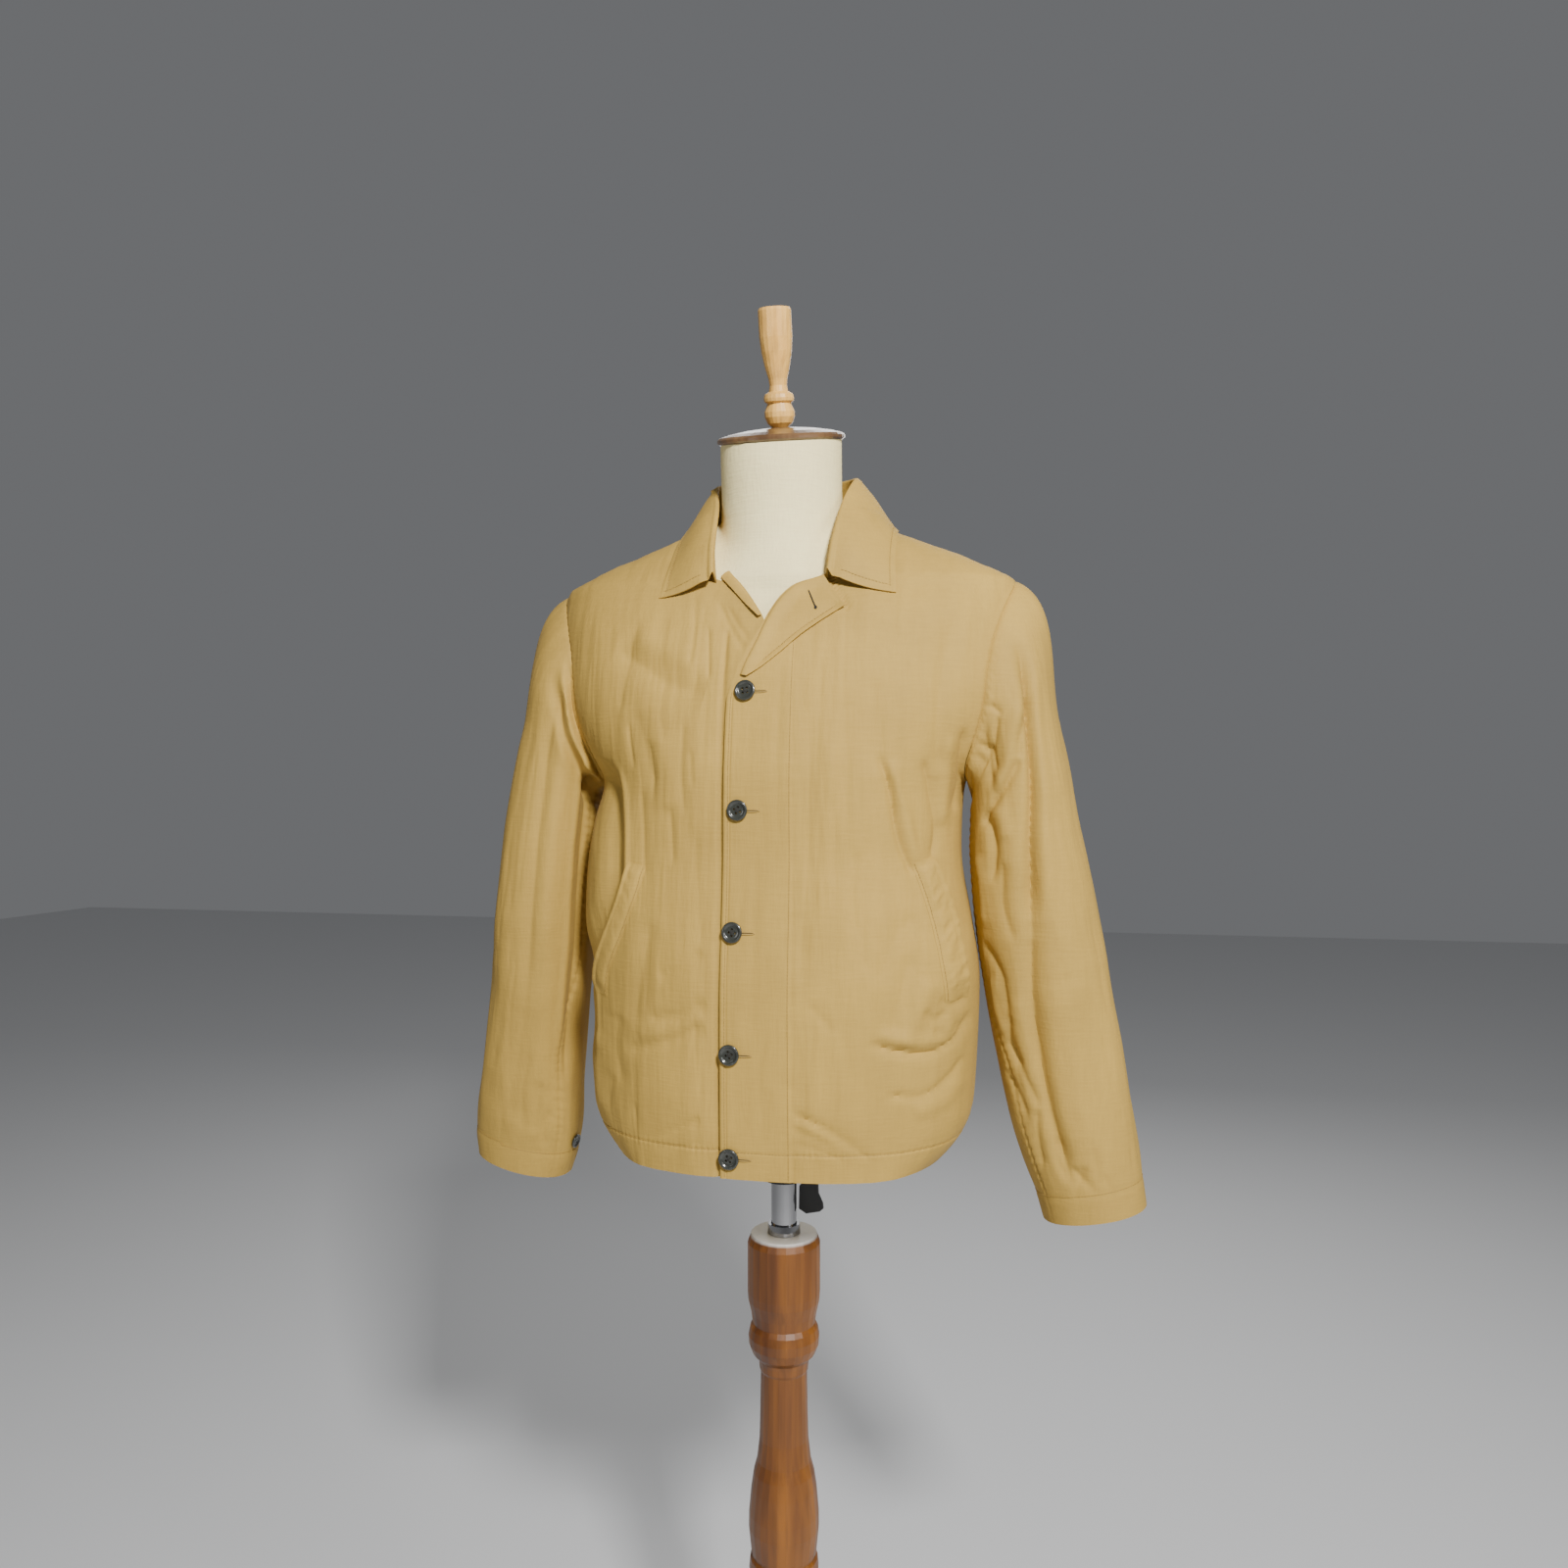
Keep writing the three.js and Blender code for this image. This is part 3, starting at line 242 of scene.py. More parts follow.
# Creases of the front, in x and height: path, width and height of each.
FRONT_CREASES = [
    ((176, 1400), (164, 1310), (162, 1250), 9, -2.2),
    ((112, 1266), (120, 1238), (127, 1195), (134, 1172), (141, 1156), 2.4, -2.4),
    ((121, 1262), (129, 1230), (137, 1195), (146, 1164), 4.5, 1.8),
    ((150, 1262), (155, 1238), (160, 1196), (156, 1168), 2.8, -2.2),
    ((174, 1285), (168, 1240), (163, 1200), 4, 1.8),
    ((187, 1292), (181, 1248), (174, 1214), 3, -2.2),
    ((102, 1006), (128, 997), (154, 993), (177, 1003), (190, 1024), 2.8, -2.4),
    ((110, 1015), (140, 1005), (166, 1006), (182, 1016), 5, 1.5),
    ((116, 958), (146, 954), (170, 966), (186, 984), 2.2, -1.6),
    ((140, 940), (165, 946), (184, 965), 6, 1.3),
    ((33, 941), (56, 932), (80, 917), (112, 893), 2.8, -1.9),
    ((40, 933), (62, 924), (92, 902), 4, 1.0),
    ((33, 927), (52, 921), (70, 911), 1.8, -1.0),
    ((33, 914), (58, 908), (82, 898), 2.0, -1.4),
    ((50, 1040), (62, 1028), (74, 1014), 4, -0.8),
    ((80, 1330), (84, 1240), (74, 1150), 12, -1.2),
    ((52, 1300), (48, 1180), (40, 1060), 9, -1.0),
    ((66, 1290), (64, 1180), (58, 1080), 8, 0.8),
    ((106, 1340), (108, 1290), (112, 1250), 8, -1.0),
    ((22, 1358), (20, 1260), (22, 1180), 2.2, -0.6),
    ((2, 1170), (0, 1090), (-4, 1010), 4, -0.6),
    ((-14, 1180), (-12, 1140), (-16, 1112), 2.0, -0.5),
    ((10, 1010), (4, 970), (6, 935), 2.4, -0.6),
    ((14, 960), (6, 930), (0, 905), 4, -0.9),
    ((24, 930), (10, 912), (-6, 906), 3, -0.8),
    ((158, 1062), (146, 1030), (130, 1000), 7, 1.7),
    ((140, 1084), (130, 1044), (122, 1010), 7, -1.3),
    ((142, 1120), (124, 1096), (112, 1060), 8, -1.0),
    ((150, 1032), (160, 1023), (172, 1030), 2.6, -1.7),
    ((158, 1013), (170, 1008), (182, 1018), 2.6, -1.6),
    ((164, 1042), (174, 1034), (186, 1040), 2.6, -1.5),
    ((92, 1180), (88, 1140), (92, 1100), 3, -0.7),
    ((104, 1150), (98, 1110), (100, 1070), 3, -0.6),
    ((70, 1230), (72, 1190), (68, 1150), 2.4, -0.5),
    ((-150, 1372), (-116, 1352), (-84, 1334), (-52, 1326), 11, -2.2),
    ((-130, 1384), (-92, 1366), (-56, 1350), 9, 1.2),
    ((-122, 1310), (-112, 1275), (-101, 1236), 9, -1.2),
    ((-96, 1290), (-90, 1250), (-88, 1215), 9, 1.2),
    ((-70, 1424), (-67, 1388), (-68, 1350), 1.9, -0.8),
    ((-53, 1390), (-51, 1364), (-49, 1338), 2.1, -0.9),
    ((-60, 1420), (-60, 1380), (-62, 1330), 3.4, -0.7),
    ((-46, 1416), (-32, 1390), (-16, 1366), 3.2, -1.1),
    ((-36, 1410), (-22, 1388), (-12, 1376), 2.0, -0.8),
    ((-131, 1298), (-129, 1278), (-126, 1256), 1.9, -0.8),
    ((-108, 1282), (-104, 1254), (-102, 1226), 2.1, -0.6),
    ((-64, 1272), (-63, 1255), (-62, 1238), 1.8, -0.6),
    ((-117, 1236), (-114, 1190), (-112, 1150), 2.4, -0.8),
    ((-85, 1217), (-83, 1190), (-81, 1163), 1.9, -0.6),
    ((-72, 1300), (-74, 1260), (-70, 1210), 2.6, -0.6),
    ((-94, 1340), (-96, 1310), (-92, 1280), 2.4, -0.5),
    ((-128, 1400), (-136, 1350), (-140, 1310), 4, -0.9),
    ((-60, 1200), (-56, 1140), (-52, 1090), 6, -0.8),
    ((-50, 1086), (-72, 1071), (-94, 1058), 4, -1.1),
    ((-46, 1040), (-74, 1025), (-106, 1020), 4, -1.4),
    ((-48, 1018), (-84, 1001), (-134, 987), 5, -1.5),
    ((-50, 1030), (-78, 1013), (-118, 1003), 6, 0.9),
    ((-104, 1110), (-112, 1060), (-124, 1010), 8, -1.2),
    ((-140, 1020), (-146, 990), (-138, 950), 8, -1.4),
    ((-52, 930), (-76, 919), (-114, 904), 2.6, -1.7),
    ((-50, 911), (-74, 902), (-100, 899), 2.2, -1.6),
    ((-122, 936), (-121, 915), (-120, 893), 1.3, -0.8),
    ((-150, 960), (-156, 930), (-152, 905), 6, -1.2),
    ((-168, 1000), (-174, 960), (-168, 915), 7, 1.2),
]
# The right front folds back at the pocket: a ridge with a deep hollow beyond it, towards the side.
SIDE_RIDGE = (
    (-148, 1262), (-138, 1236), (-134, 1200), (-133, 1160), (-142, 1120),
    (-160, 1085), (-175, 1056), (-169, 1030), (-168, 985),
)
SIDE_RIDGE_WIDE = 3.2
SIDE_RIDGE_HIGH = 1.8
SIDE_HOLLOW_AWAY = 17
SIDE_HOLLOW_WIDE = 13
SIDE_HOLLOW_DEEP = -8.5
# The end of the rolled corner, beside which the left front sinks a little.
CORNER_END = np.array([(55.5, 1438.0), (68.0, 1422.0), (79.5, 1405.0)])
# How far the stitched line of the placket lies from the middle.
PLACKET_LINE = table("z x", [(878, 34.5), (1100, 34), (1211, 33), (1400, 31)])
# Creases of the back, on its hidden side: shoulder blades, waist and hem.
BACK_CREASES = [
    ((150, 1400), (120, 1330), (104, 1250), 14, -3.0),
    ((-146, 1404), (-118, 1340), (-100, 1270), 14, -2.8),
    ((128, 1300), (112, 1230), (96, 1180), 9, 1.6),
    ((-124, 1290), (-108, 1225), (-90, 1170), 9, 1.5),
    ((60, 1240), (70, 1160), (66, 1060), 15, -2.8),
    ((-56, 1250), (-66, 1170), (-58, 1080), 14, -2.6),
    ((8, 1230), (12, 1130), (6, 1010), 18, -2.2),
    ((34, 1120), (40, 1030), (36, 950), 12, 1.7),
    ((-30, 1130), (-36, 1040), (-30, 960), 12, 1.6),
    ((100, 1080), (112, 1010), (110, 930), 14, -2.4),
    ((-98, 1090), (-108, 1020), (-104, 940), 14, -2.3),
    ((150, 1150), (130, 1128), (104, 1116), 6, -1.8),
    ((-150, 1146), (-132, 1128), (-108, 1112), 6, -1.7),
    ((144, 1120), (118, 1104), (92, 1098), 5, 1.1),
    ((-142, 1116), (-120, 1100), (-94, 1092), 5, 1.0),
    ((-20, 1440), (6, 1434), (34, 1441), 8, -1.2),
    ((70, 918), (90, 908), (118, 906), 4, -1.2),
    ((-112, 914), (-86, 905), (-60, 908), 4, -1.1),
    ((150, 1060), (156, 990), (148, 920), 10, -2.0),
    ((-152, 1056), (-158, 992), (-150, 926), 10, -2.0),
]
# Creases of the sleeves: degrees from the outer side towards the front, and height.
SLEEVE_LEFT_CREASES = [
    ((52, 1372), (66, 1300), (76, 1240), (86, 1180), (96, 1095), 3.4, -9.5),
    ((42, 1360), (56, 1300), (64, 1240), (74, 1170), (84, 1100), 4.5, 1.8),
    ((93, 1110), (103, 1040), (106, 960), (104, 850), 4.0, -6.5),
    ((60, 1350), (76, 1280), (88, 1210), (102, 1140), 7, 1.8),
    ((80, 1050), (86, 960), (86, 880), 11, 2.2),
    ((131, 1334), (118, 1326), (104, 1318), (94, 1306), 2.6, -3.0),
    ((122, 1340), (110, 1330), (98, 1322), 4, 1.6),
    ((98, 1306), (106, 1292), (112, 1272), (110, 1254), 2.6, -3.2),
    ((140, 1294), (130, 1284), (120, 1276), (112, 1276), 2.6, -3.6),
    ((146, 1284), (134, 1270), (124, 1262), 5, -3.0),
    ((122, 1318), (121, 1284), (118, 1240), 4.0, -3.2),
    ((60, 1318), (72, 1298), (82, 1278), (84, 1262), 2.8, -3.0),
    ((84, 1264), (98, 1244), (118, 1226), (136, 1210), 2.8, -4.4),
    ((70, 1316), (88, 1290), (96, 1262), (116, 1238), 4.5, 2.4),
    ((138, 1214), (124, 1204), (120, 1184), (128, 1152), 3.2, -3.8),
    ((130, 1224), (112, 1214), (106, 1190), 5, 1.8),
    ((146, 1180), (142, 1150), (146, 1110), 5, 2.2),
    ((112, 1170), (118, 1130), (112, 1095), 3.2, -2.0),
    ((152, 1096), (138, 1078), (130, 1056), (130, 1020), 3.2, -3.2),
    ((144, 1062), (146, 1034), (140, 1004), 4, 2.0),
    ((128, 1024), (134, 1000), (126, 972), 2.8, -2.6),
    ((118, 1040), (120, 1000), (124, 950), 5, 1.6),
    ((140, 1000), (130, 984), (122, 956), (116, 930), 3.0, -2.6),
    ((150, 968), (138, 950), (132, 922), 2.6, -2.2),
    ((118, 930), (126, 900), (130, 872), 3.0, -2.6),
    ((106, 900), (112, 880), (108, 858), 2.4, -1.6),
    ((100, 870), (92, 856), (84, 842), 2.2, -2.2),
    ((88, 870), (96, 856), (106, 840), 2.2, -2.0),
    ((74, 858), (70, 846), (68, 832), 2.4, -1.2),
    ((40, 1230), (46, 1150), (50, 1060), 12, -1.2),
    ((12, 1290), (22, 1180), (28, 1060), 14, -1.6),
    ((60, 1040), (66, 960), (62, 880), 9, -1.2),
    ((28, 1120), (32, 1060), (30, 1000), 2.6, -0.6),
    ((44, 1000), (46, 950), (42, 900), 2.6, -0.6),
    ((150, 1262), (170, 1236), (196, 1222), 3.4, -2.8),
    ((205, 1240), (222, 1190), (230, 1120), 6, -3.6),
    ((250, 1290), (244, 1200), (250, 1100), 7, -3.2),
    ((262, 1120), (270, 1040), (262, 960), 8, -3.0),
    ((220, 1080), (226, 1030), (214, 980), 5, -2.4),
    ((300, 1330), (292, 1220), (300, 1100), 10, -2.4),
    ((318, 1100), (322, 1000), (314, 900), 10, -2.0),
    ((236, 990), (252, 975), (270, 972), 3.6, -1.8),
    ((238, 900), (248, 870), (244, 842), 4.5, -1.8),
]
SLEEVE_RIGHT_CREASES = [
    ((160, 1290), (160, 1200), (160, 1100), (156, 1000), (150, 930), 7, -6.5),
    ((141, 1320), (141, 1200), (142, 1080), (140, 960), 3.2, 2.4),
    ((86, 1345), (95, 1240), (97, 1120), (97, 1010), 6, -3.8),
    ((96, 1020), (92, 940), (88, 880), 8, -2.2),
    ((112, 1320), (112, 1200), (112, 1060), 8, 2.4),
    ((60, 1330), (66, 1220), (70, 1100), 10, -1.8),
    ((34, 1300), (40, 1180), (48, 1060), 14, 1.4),
    ((76, 1090), (70, 1010), (60, 930), 9, -1.7),
    ((78, 1280), (82, 1200), (80, 1120), 2.4, -0.7),
    ((56, 1180), (58, 1120), (54, 1060), 2.4, -0.7),
    ((84, 1060), (80, 1000), (82, 950), 2.4, -0.7),
    ((40, 1040), (50, 960), (56, 890), 12, -1.2),
    ((104, 960), (98, 910), (100, 870), 3.0, -1.2),
    ((120, 930), (114, 900), (112, 872), 4.5, -1.8),
    ((132, 900), (124, 880), (126, 856), 3.0, -1.8),
    ((150, 1250), (172, 1232), (196, 1222), 3.4, -2.6),
    ((206, 1235), (220, 1180), (232, 1110), 6, -3.4),
    ((252, 1300), (246, 1190), (254, 1080), 7, -3.2),
    ((264, 1100), (256, 1030), (262, 950), 8, -3.0),
    ((300, 1320), (296, 1210), (306, 1090), 10, -2.4),
    ((320, 1080), (312, 990), (320, 900), 10, -2.0),
    ((226, 1060), (244, 1046), (262, 1044), 3.6, -1.8),
    ((236, 900), (246, 872), (242, 846), 4.5, -1.8),
]


def along(tab, key, at, by="z"):
    """Smooth value of one named column of a table, without overshoot."""
    x, y = tab[by], tab[key]
    if x[0] > x[-1]:
        x, y = x[::-1], y[::-1]
    h = np.diff(x)
    rise = np.diff(y) / h
    slope = np.empty_like(y)
    slope[0], slope[-1] = rise[0], rise[-1]
    a, b = rise[:-1], rise[1:]
    same = a * b > 0
    slope[1:-1] = np.where(same, 2 * a * b / np.where(same, a + b, 1), 0)
    at = np.clip(np.asarray(at, float), x[0], x[-1])
    i = np.clip(np.searchsorted(x, at, side="right") - 1, 0, len(h) - 1)
    t = (at - x[i]) / h[i]
    s = 1 - t
    return (
        y[i] * (1 + 2 * t) * s * s
        + y[i + 1] * t * t * (3 - 2 * t)
        + slope[i] * h[i] * t * s * s
        - slope[i + 1] * h[i] * t * t * s
    )


def fade(start, end, at):
    t = np.clip((np.asarray(at, float) - start) / (end - start), 0, 1)
    return t * t * (3 - 2 * t)


def spow(value, power):
    return np.sign(value) * np.abs(value) ** power


def body_value(key, z):
    """A column of the body's table, eased over some height below the shoulders."""
    z = np.asarray(z, float)
    reach = 12 * (1 - fade(1310, 1390, z))
    return (along(BODY, key, z - reach) + 2 * along(BODY, key, z) + along(BODY, key, z + reach)) / 4


def section(z, x):
    """Half width on the side of x, depths, middle and squareness at heights."""
    half = np.where(np.asarray(x) < 0, body_value("right", z), body_value("left", z))
    return half, body_value("front", z), body_value("back", z), body_value("mid", z), body_value("n", z)


def body_point(phi, z):
    """Points of the jacket's outer face at angles from the middle of the front."""
    sin, cos = np.sin(phi), np.cos(phi)
    half, front, back, mid, n = section(z, sin)
    deep = np.where(cos >= 0, front, back)
    x = half * spow(sin, 2 / n)
    y = mid - deep * spow(cos, 2 / n)
    return np.stack([x, y, np.broadcast_to(z, x.shape)], -1)


def angle_at(x, z):
    half, _, _, _, n = section(z, x)
    return np.sign(x) * np.arcsin(np.minimum(1, np.abs(x) / half) ** (n / 2))


def outer_angle(z, face):
    _, front, back, _, n = section(z, 1)
    deep = front if face == "front" else back
    share = np.minimum(1, along(ARMHOLE, face, z) / deep)
    inside = (z > UNDERARM_Z) & (z < ARMHOLE_TOP_Z)
    return np.where(inside, np.arccos(share ** (n / 2)), np.pi / 2)


def level(p):
    half, front, back, mid, n = section(p[..., 2], p[..., 0])
    deep = np.where(p[..., 1] < mid, front, back)
    return (np.abs(p[..., 0]) / half) ** n + (np.abs(p[..., 1] - mid) / deep) ** n - 1


def gradient(p):
    e = 0.05
    out = np.empty_like(p)
    for k in range(3):
        d = np.zeros(3)
        d[k] = e
        out[..., k] = (level(p + d) - level(p - d)) / (2 * e)
    return out


def outward(p):
    g = gradient(p)
    return g / np.linalg.norm(g, axis=-1, keepdims=True)


def stand_off(p):
    return level(p) / np.linalg.norm(gradient(p), axis=-1)


def lift(p, off):
    """Points moved along the normal until they stand off the outer face by a distance."""
    q = p.copy()
    for _ in range(6):
        g = gradient(q)
        size = np.linalg.norm(g, axis=-1, keepdims=True)
        q = q + g / size * (np.asarray(off) - level(q) / size[..., 0])[..., None]
    return q


def on_front(x, z, off):
    x, z = np.asarray(x, float), np.asarray(z, float)
    p = body_point(angle_at(x, z), z)
    return p + outward(p) * np.asarray(off)[..., None]


def unevenness(u, v, size_u, size_v, seed):
    """Soft unevenness from -1 to 1, from a lattice of fixed values."""
    rng = np.random.default_rng(seed)
    lattice = rng.uniform(-1, 1, (64, 64))
    a, b = np.asarray(u) / size_u + 17.3, np.asarray(v) / size_v + 9.1
    i, j = np.floor(a).astype(int), np.floor(b).astype(int)
    s, t = a - i, b - j
    s, t = s * s * (3 - 2 * s), t * t * (3 - 2 * t)

    def at(p, q):
        return lattice[p % 64, q % 64]

    low = at(i, j) * (1 - s) + at(i + 1, j) * s
    high = at(i, j + 1) * (1 - s) + at(i + 1, j + 1) * s
    return low * (1 - t) + high * t


def path_distance(path, u, v, scale):
    """Distance to a smooth path, and the share of the path at the nearest point."""
    knots = np.arange(len(path))
    fine = np.linspace(0, len(path) - 1, 6 * (len(path) - 1) + 1)
    px = along({"z": knots, "v": path[:, 0]}, "v", fine) * scale
    pz = along({"z": knots, "v": path[:, 1]}, "v", fine)
    best = np.full(u.shape, 1e9)
    where = np.zeros(u.shape)
    for k in range(len(fine) - 1):
        dx, dz = px[k + 1] - px[k], pz[k + 1] - pz[k]
        t = ((u * scale - px[k]) * dx + (v - pz[k]) * dz) / (dx * dx + dz * dz)
        free = np.clip(t, 0, 1)
        d = np.hypot(u * scale - px[k] - dx * free, v - pz[k] - dz * free)
        near = d < best
        best = np.where(near, d, best)
        where = np.where(near, (k + free) / (len(fine) - 1), where)
    return best, where


def creased(rows, u, v, scale=1.0, spread=1.0):
    """Sum of soft creases. Troughs are sharper than ridges; scale turns u into mm."""
    shape = np.broadcast(u, v).shape
    u, v = np.broadcast_to(u, shape), np.broadcast_to(v, shape)
    total = np.zeros(shape)
    for row in rows:
        path, wide, high = np.array(row[:-2], float), spread * row[-2], row[-1]
        reach = 4 * wide
        near = (u > path[:, 0].min() - reach / scale) & (u < path[:, 0].max() + reach / scale)
        near &= (v > path[:, 1].min() - reach) & (v < path[:, 1].max() + reach)
        if not near.any():
            continue
        best, where = path_distance(path, u[near], v[near], scale)
        taper = np.minimum(1, 2.2 * np.sin(np.pi * np.clip(where, 0, 1)) ** 0.8)
        power = 1.35 if high < 0 else 2.0
        cut = fade(reach, 2.5 * wide, best)
        total[near] += high * np.exp(-((best / wide) ** power)) * (0.04 + 0.96 * taper) * cut
    return total


def obj_from(name, verts, faces, material):
    mesh = bpy.data.meshes.new(name)
    mesh.from_pydata([tuple(v) for v in (np.asarray(verts) * MM).tolist()], [], faces)
    mesh.validate()
    bm = bmesh.new()
    bm.from_mesh(mesh)
    bmesh.ops.recalc_face_normals(bm, faces=bm.faces)
    if bm.calc_volume(signed=True) < 0:
        bmesh.ops.reverse_faces(bm, faces=bm.faces)
    bm.to_mesh(mesh)
    bm.free()
    mesh.polygons.foreach_set("use_smooth", [True] * len(mesh.polygons))
    obj = bpy.data.objects.new(name, mesh)
    bpy.context.scene.collection.objects.link(obj)
    mesh.materials.append(material)
    return obj


def sharpen(obj, degrees=50):
    """Marks the edges between faces that meet at more than an angle as sharp."""
    bm = bmesh.new()
    bm.from_mesh(obj.data)
    for e in bm.edges:
        if len(e.link_faces) == 2 and e.calc_face_angle() > math.radians(degrees):
            e.smooth = False
    bm.to_mesh(obj.data)
    bm.free()


def shell(name, outer, normals, wall, material, tube=False):
    """A thin wall under a grid of points."""
    rows, cols = outer.shape[:2]
    inner = outer - normals * wall
    verts = np.concatenate([outer.reshape(-1, 3), inner.reshape(-1, 3)])
    faces = []
    size = rows * cols

    def at(face, r, c):
        return face * size + r * cols + c % cols

    across = cols if tube else cols - 1
    for r in range(rows - 1):
        for c in range(across):
            faces.append((at(0, r, c), at(0, r, c + 1), at(0, r + 1, c + 1), at(0, r + 1, c)))
            faces.append((at(1, r, c), at(1, r + 1, c), at(1, r + 1, c + 1), at(1, r, c + 1)))
    for c in range(across):
        faces.append((at(0, 0, c), at(1, 0, c), at(1, 0, c + 1), at(0, 0, c + 1)))
        t = rows - 1
        faces.append((at(0, t, c), at(0, t, c + 1), at(1, t, c + 1), at(1, t, c)))
    if not tube:
        e = cols - 1
        for r in range(rows - 1):
            faces.append((at(0, r, 0), at(0, r + 1, 0), at(1, r + 1, 0), at(1, r, 0)))
            faces.append((at(0, r, e), at(1, r, e), at(1, r + 1, e), at(0, r + 1, e)))
    obj = obj_from(name, verts, faces, material)
    sharpen(obj)
    return obj


def grid_normals(grid, tube=False):
    if tube:
        across = np.roll(grid, -1, 1) - np.roll(grid, 1, 1)
    else:
        across = np.gradient(grid, axis=1)
    n = np.cross(across, np.gradient(grid, axis=0))
    return n / np.maximum(np.linalg.norm(n, axis=-1, keepdims=True), 1e-9)


# Materials


def new_material(name):
    mat = bpy.data.materials.new(name)
    mat.use_nodes = True
    nodes, links = mat.node_tree.nodes, mat.node_tree.links
    bsdf = next(n for n in nodes if n.type == "BSDF_PRINCIPLED")
    return mat, nodes, links, bsdf


def mix_colour(nodes, links, factor, a, b):
    mix = nodes.new("ShaderNodeMix")
    mix.data_type = "RGBA"
    links.new(factor, mix.inputs["Factor"])
    for socket, value in ((mix.inputs["A"], a), (mix.inputs["B"], b)):
        if isinstance(value, (tuple, list)):
            socket.default_value = (*value[:3], 1)
        else:
            links.new(value, socket)
    return mix.outputs["Result"]


def noise_at(nodes, links, scale, detail=2.0, stretch=(1, 1, 1)):
    coord = nodes.new("ShaderNodeTexCoord")
    mapping = nodes.new("ShaderNodeMapping")
    mapping.inputs["Scale"].default_value = stretch
    noise = nodes.new("ShaderNodeTexNoise")
    noise.inputs["Scale"].default_value = scale
    noise.inputs["Detail"].default_value = detail
    links.new(coord.outputs["Object"], mapping.inputs["Vector"])
    links.new(mapping.outputs["Vector"], noise.inputs["Vector"])
    return noise.outputs["Fac"]


def ramp(nodes, links, value, low, high, out_low=0.0, out_high=1.0):
    node = nodes.new("ShaderNodeMapRange")
    node.inputs["From Min"].default_value = low
    node.inputs["From Max"].default_value = high
    node.inputs["To Min"].default_value = out_low
    node.inputs["To Max"].default_value = out_high
    links.new(value, node.inputs["Value"])
    return node.outputs["Result"]


def bump(nodes, links, height, strength, distance, bsdf, after=None):
    node = nodes.new("ShaderNodeBump")
    node.inputs["Strength"].default_value = strength
    node.inputs["Distance"].default_value = distance
    links.new(height, node.inputs["Height"])
    if after is not None:
        links.new(after, node.inputs["Normal"])
    links.new(node.outputs["Normal"], bsdf.inputs["Normal"])
    return node.outputs["Normal"]


def cloth_material(name, colour, roughness=0.7, sheen=0.02, weave=1.0, streaks=1.0):
    mat, nodes, links, bsdf = new_material(name)
    c = tuple(colour)
    dark = tuple(v * 0.87 for v in c)
    light = tuple(min(1, v * 1.1) for v in c)
    patches = ramp(nodes, links, noise_at(nodes, links, 7, 3), 0.3, 0.7)
    tone = mix_colour(nodes, links, patches, dark, light)
    slub = ramp(nodes, links, noise_at(nodes, links, 420, 3, (1, 1, 0.12)), 0.35, 0.7)
    weft = ramp(nodes, links, noise_at(nodes, links, 420, 3, (0.12, 0.12, 1)), 0.35, 0.7)
    # Long vertical streaks: a shallow bump, and darker colour along them as painted sheen differences.
    streak = noise_at(nodes, links, 62, 4, (1, 1, 0.11))
    for value, share, colour_to in (
        (slub, 0.16, tuple(v * 0.72 for v in c)),
        (weft, 0.14, tuple(min(1, v * 1.25) for v in c)),
        (ramp(nodes, links, streak, 0.46, 0.72), 0.2 * streaks, tuple(v * 0.7 for v in c)),
    ):
        part = nodes.new("ShaderNodeMath")
        part.operation = "MULTIPLY"
        part.inputs[1].default_value = share
        links.new(value, part.inputs[0])
        tone = mix_colour(nodes, links, part.outputs[0], tone, colour_to)
    links.new(tone, bsdf.inputs["Base Color"])
    bsdf.inputs["Roughness"].default_value = roughness
    bsdf.inputs["Specular IOR Level"].default_value = 0.2
    bsdf.inputs["Sheen Weight"].default_value = sheen
    bsdf.inputs["Sheen Roughness"].default_value = 0.4
    bsdf.inputs["Sheen Tint"].default_value = (1.0, 0.93, 0.78, 1)
    add = nodes.new("ShaderNodeMath")
    add.operation = "ADD"
    links.new(slub, add.inputs[0])
    links.new(weft, add.inputs[1])
    first = bump(nodes, links, add.outputs[0], 0.2 * weave, 0.0006, bsdf)
    second = bump(nodes, links, streak, 0.32 * streaks, 0.0018, bsdf, first)
    soft = noise_at(nodes, links, 30, 2, (1, 1, 0.45))
    bump(nodes, links, soft, 0.18, 0.0018, bsdf, second)
    return mat


def wood_material(name, dark, light, roughness, coat, worn_above=None):
    mat, nodes, links, bsdf = new_material(name)
    grain = noise_at(nodes, links, 26, 6, (1, 1, 0.06))
    fine = noise_at(nodes, links, 180, 3, (1, 1, 0.05))
    tone = mix_colour(nodes, links, ramp(nodes, links, grain, 0.32, 0.68), dark, light)
    streak = ramp(nodes, links, fine, 0.45, 0.75, 0, 0.45)
    tone = mix_colour(nodes, links, streak, tone, tuple(v * 0.45 for v in dark))
    if worn_above is not None:
        coord = nodes.new("ShaderNodeTexCoord")
        split = nodes.new("ShaderNodeSeparateXYZ")
        links.new(coord.outputs["Object"], split.inputs[0])
        high = ramp(nodes, links, split.outputs["Z"], worn_above - 0.002, worn_above + 0.0005)
        tone = mix_colour(nodes, links, high, tone, (0.5, 0.47, 0.44))
    links.new(tone, bsdf.inputs["Base Color"])
    bsdf.inputs["Roughness"].default_value = roughness
    bsdf.inputs["Coat Weight"].default_value = coat
    bsdf.inputs["Coat Roughness"].default_value = 0.18
    bump(nodes, links, fine, 0.12, 0.0006, bsdf)
    return mat


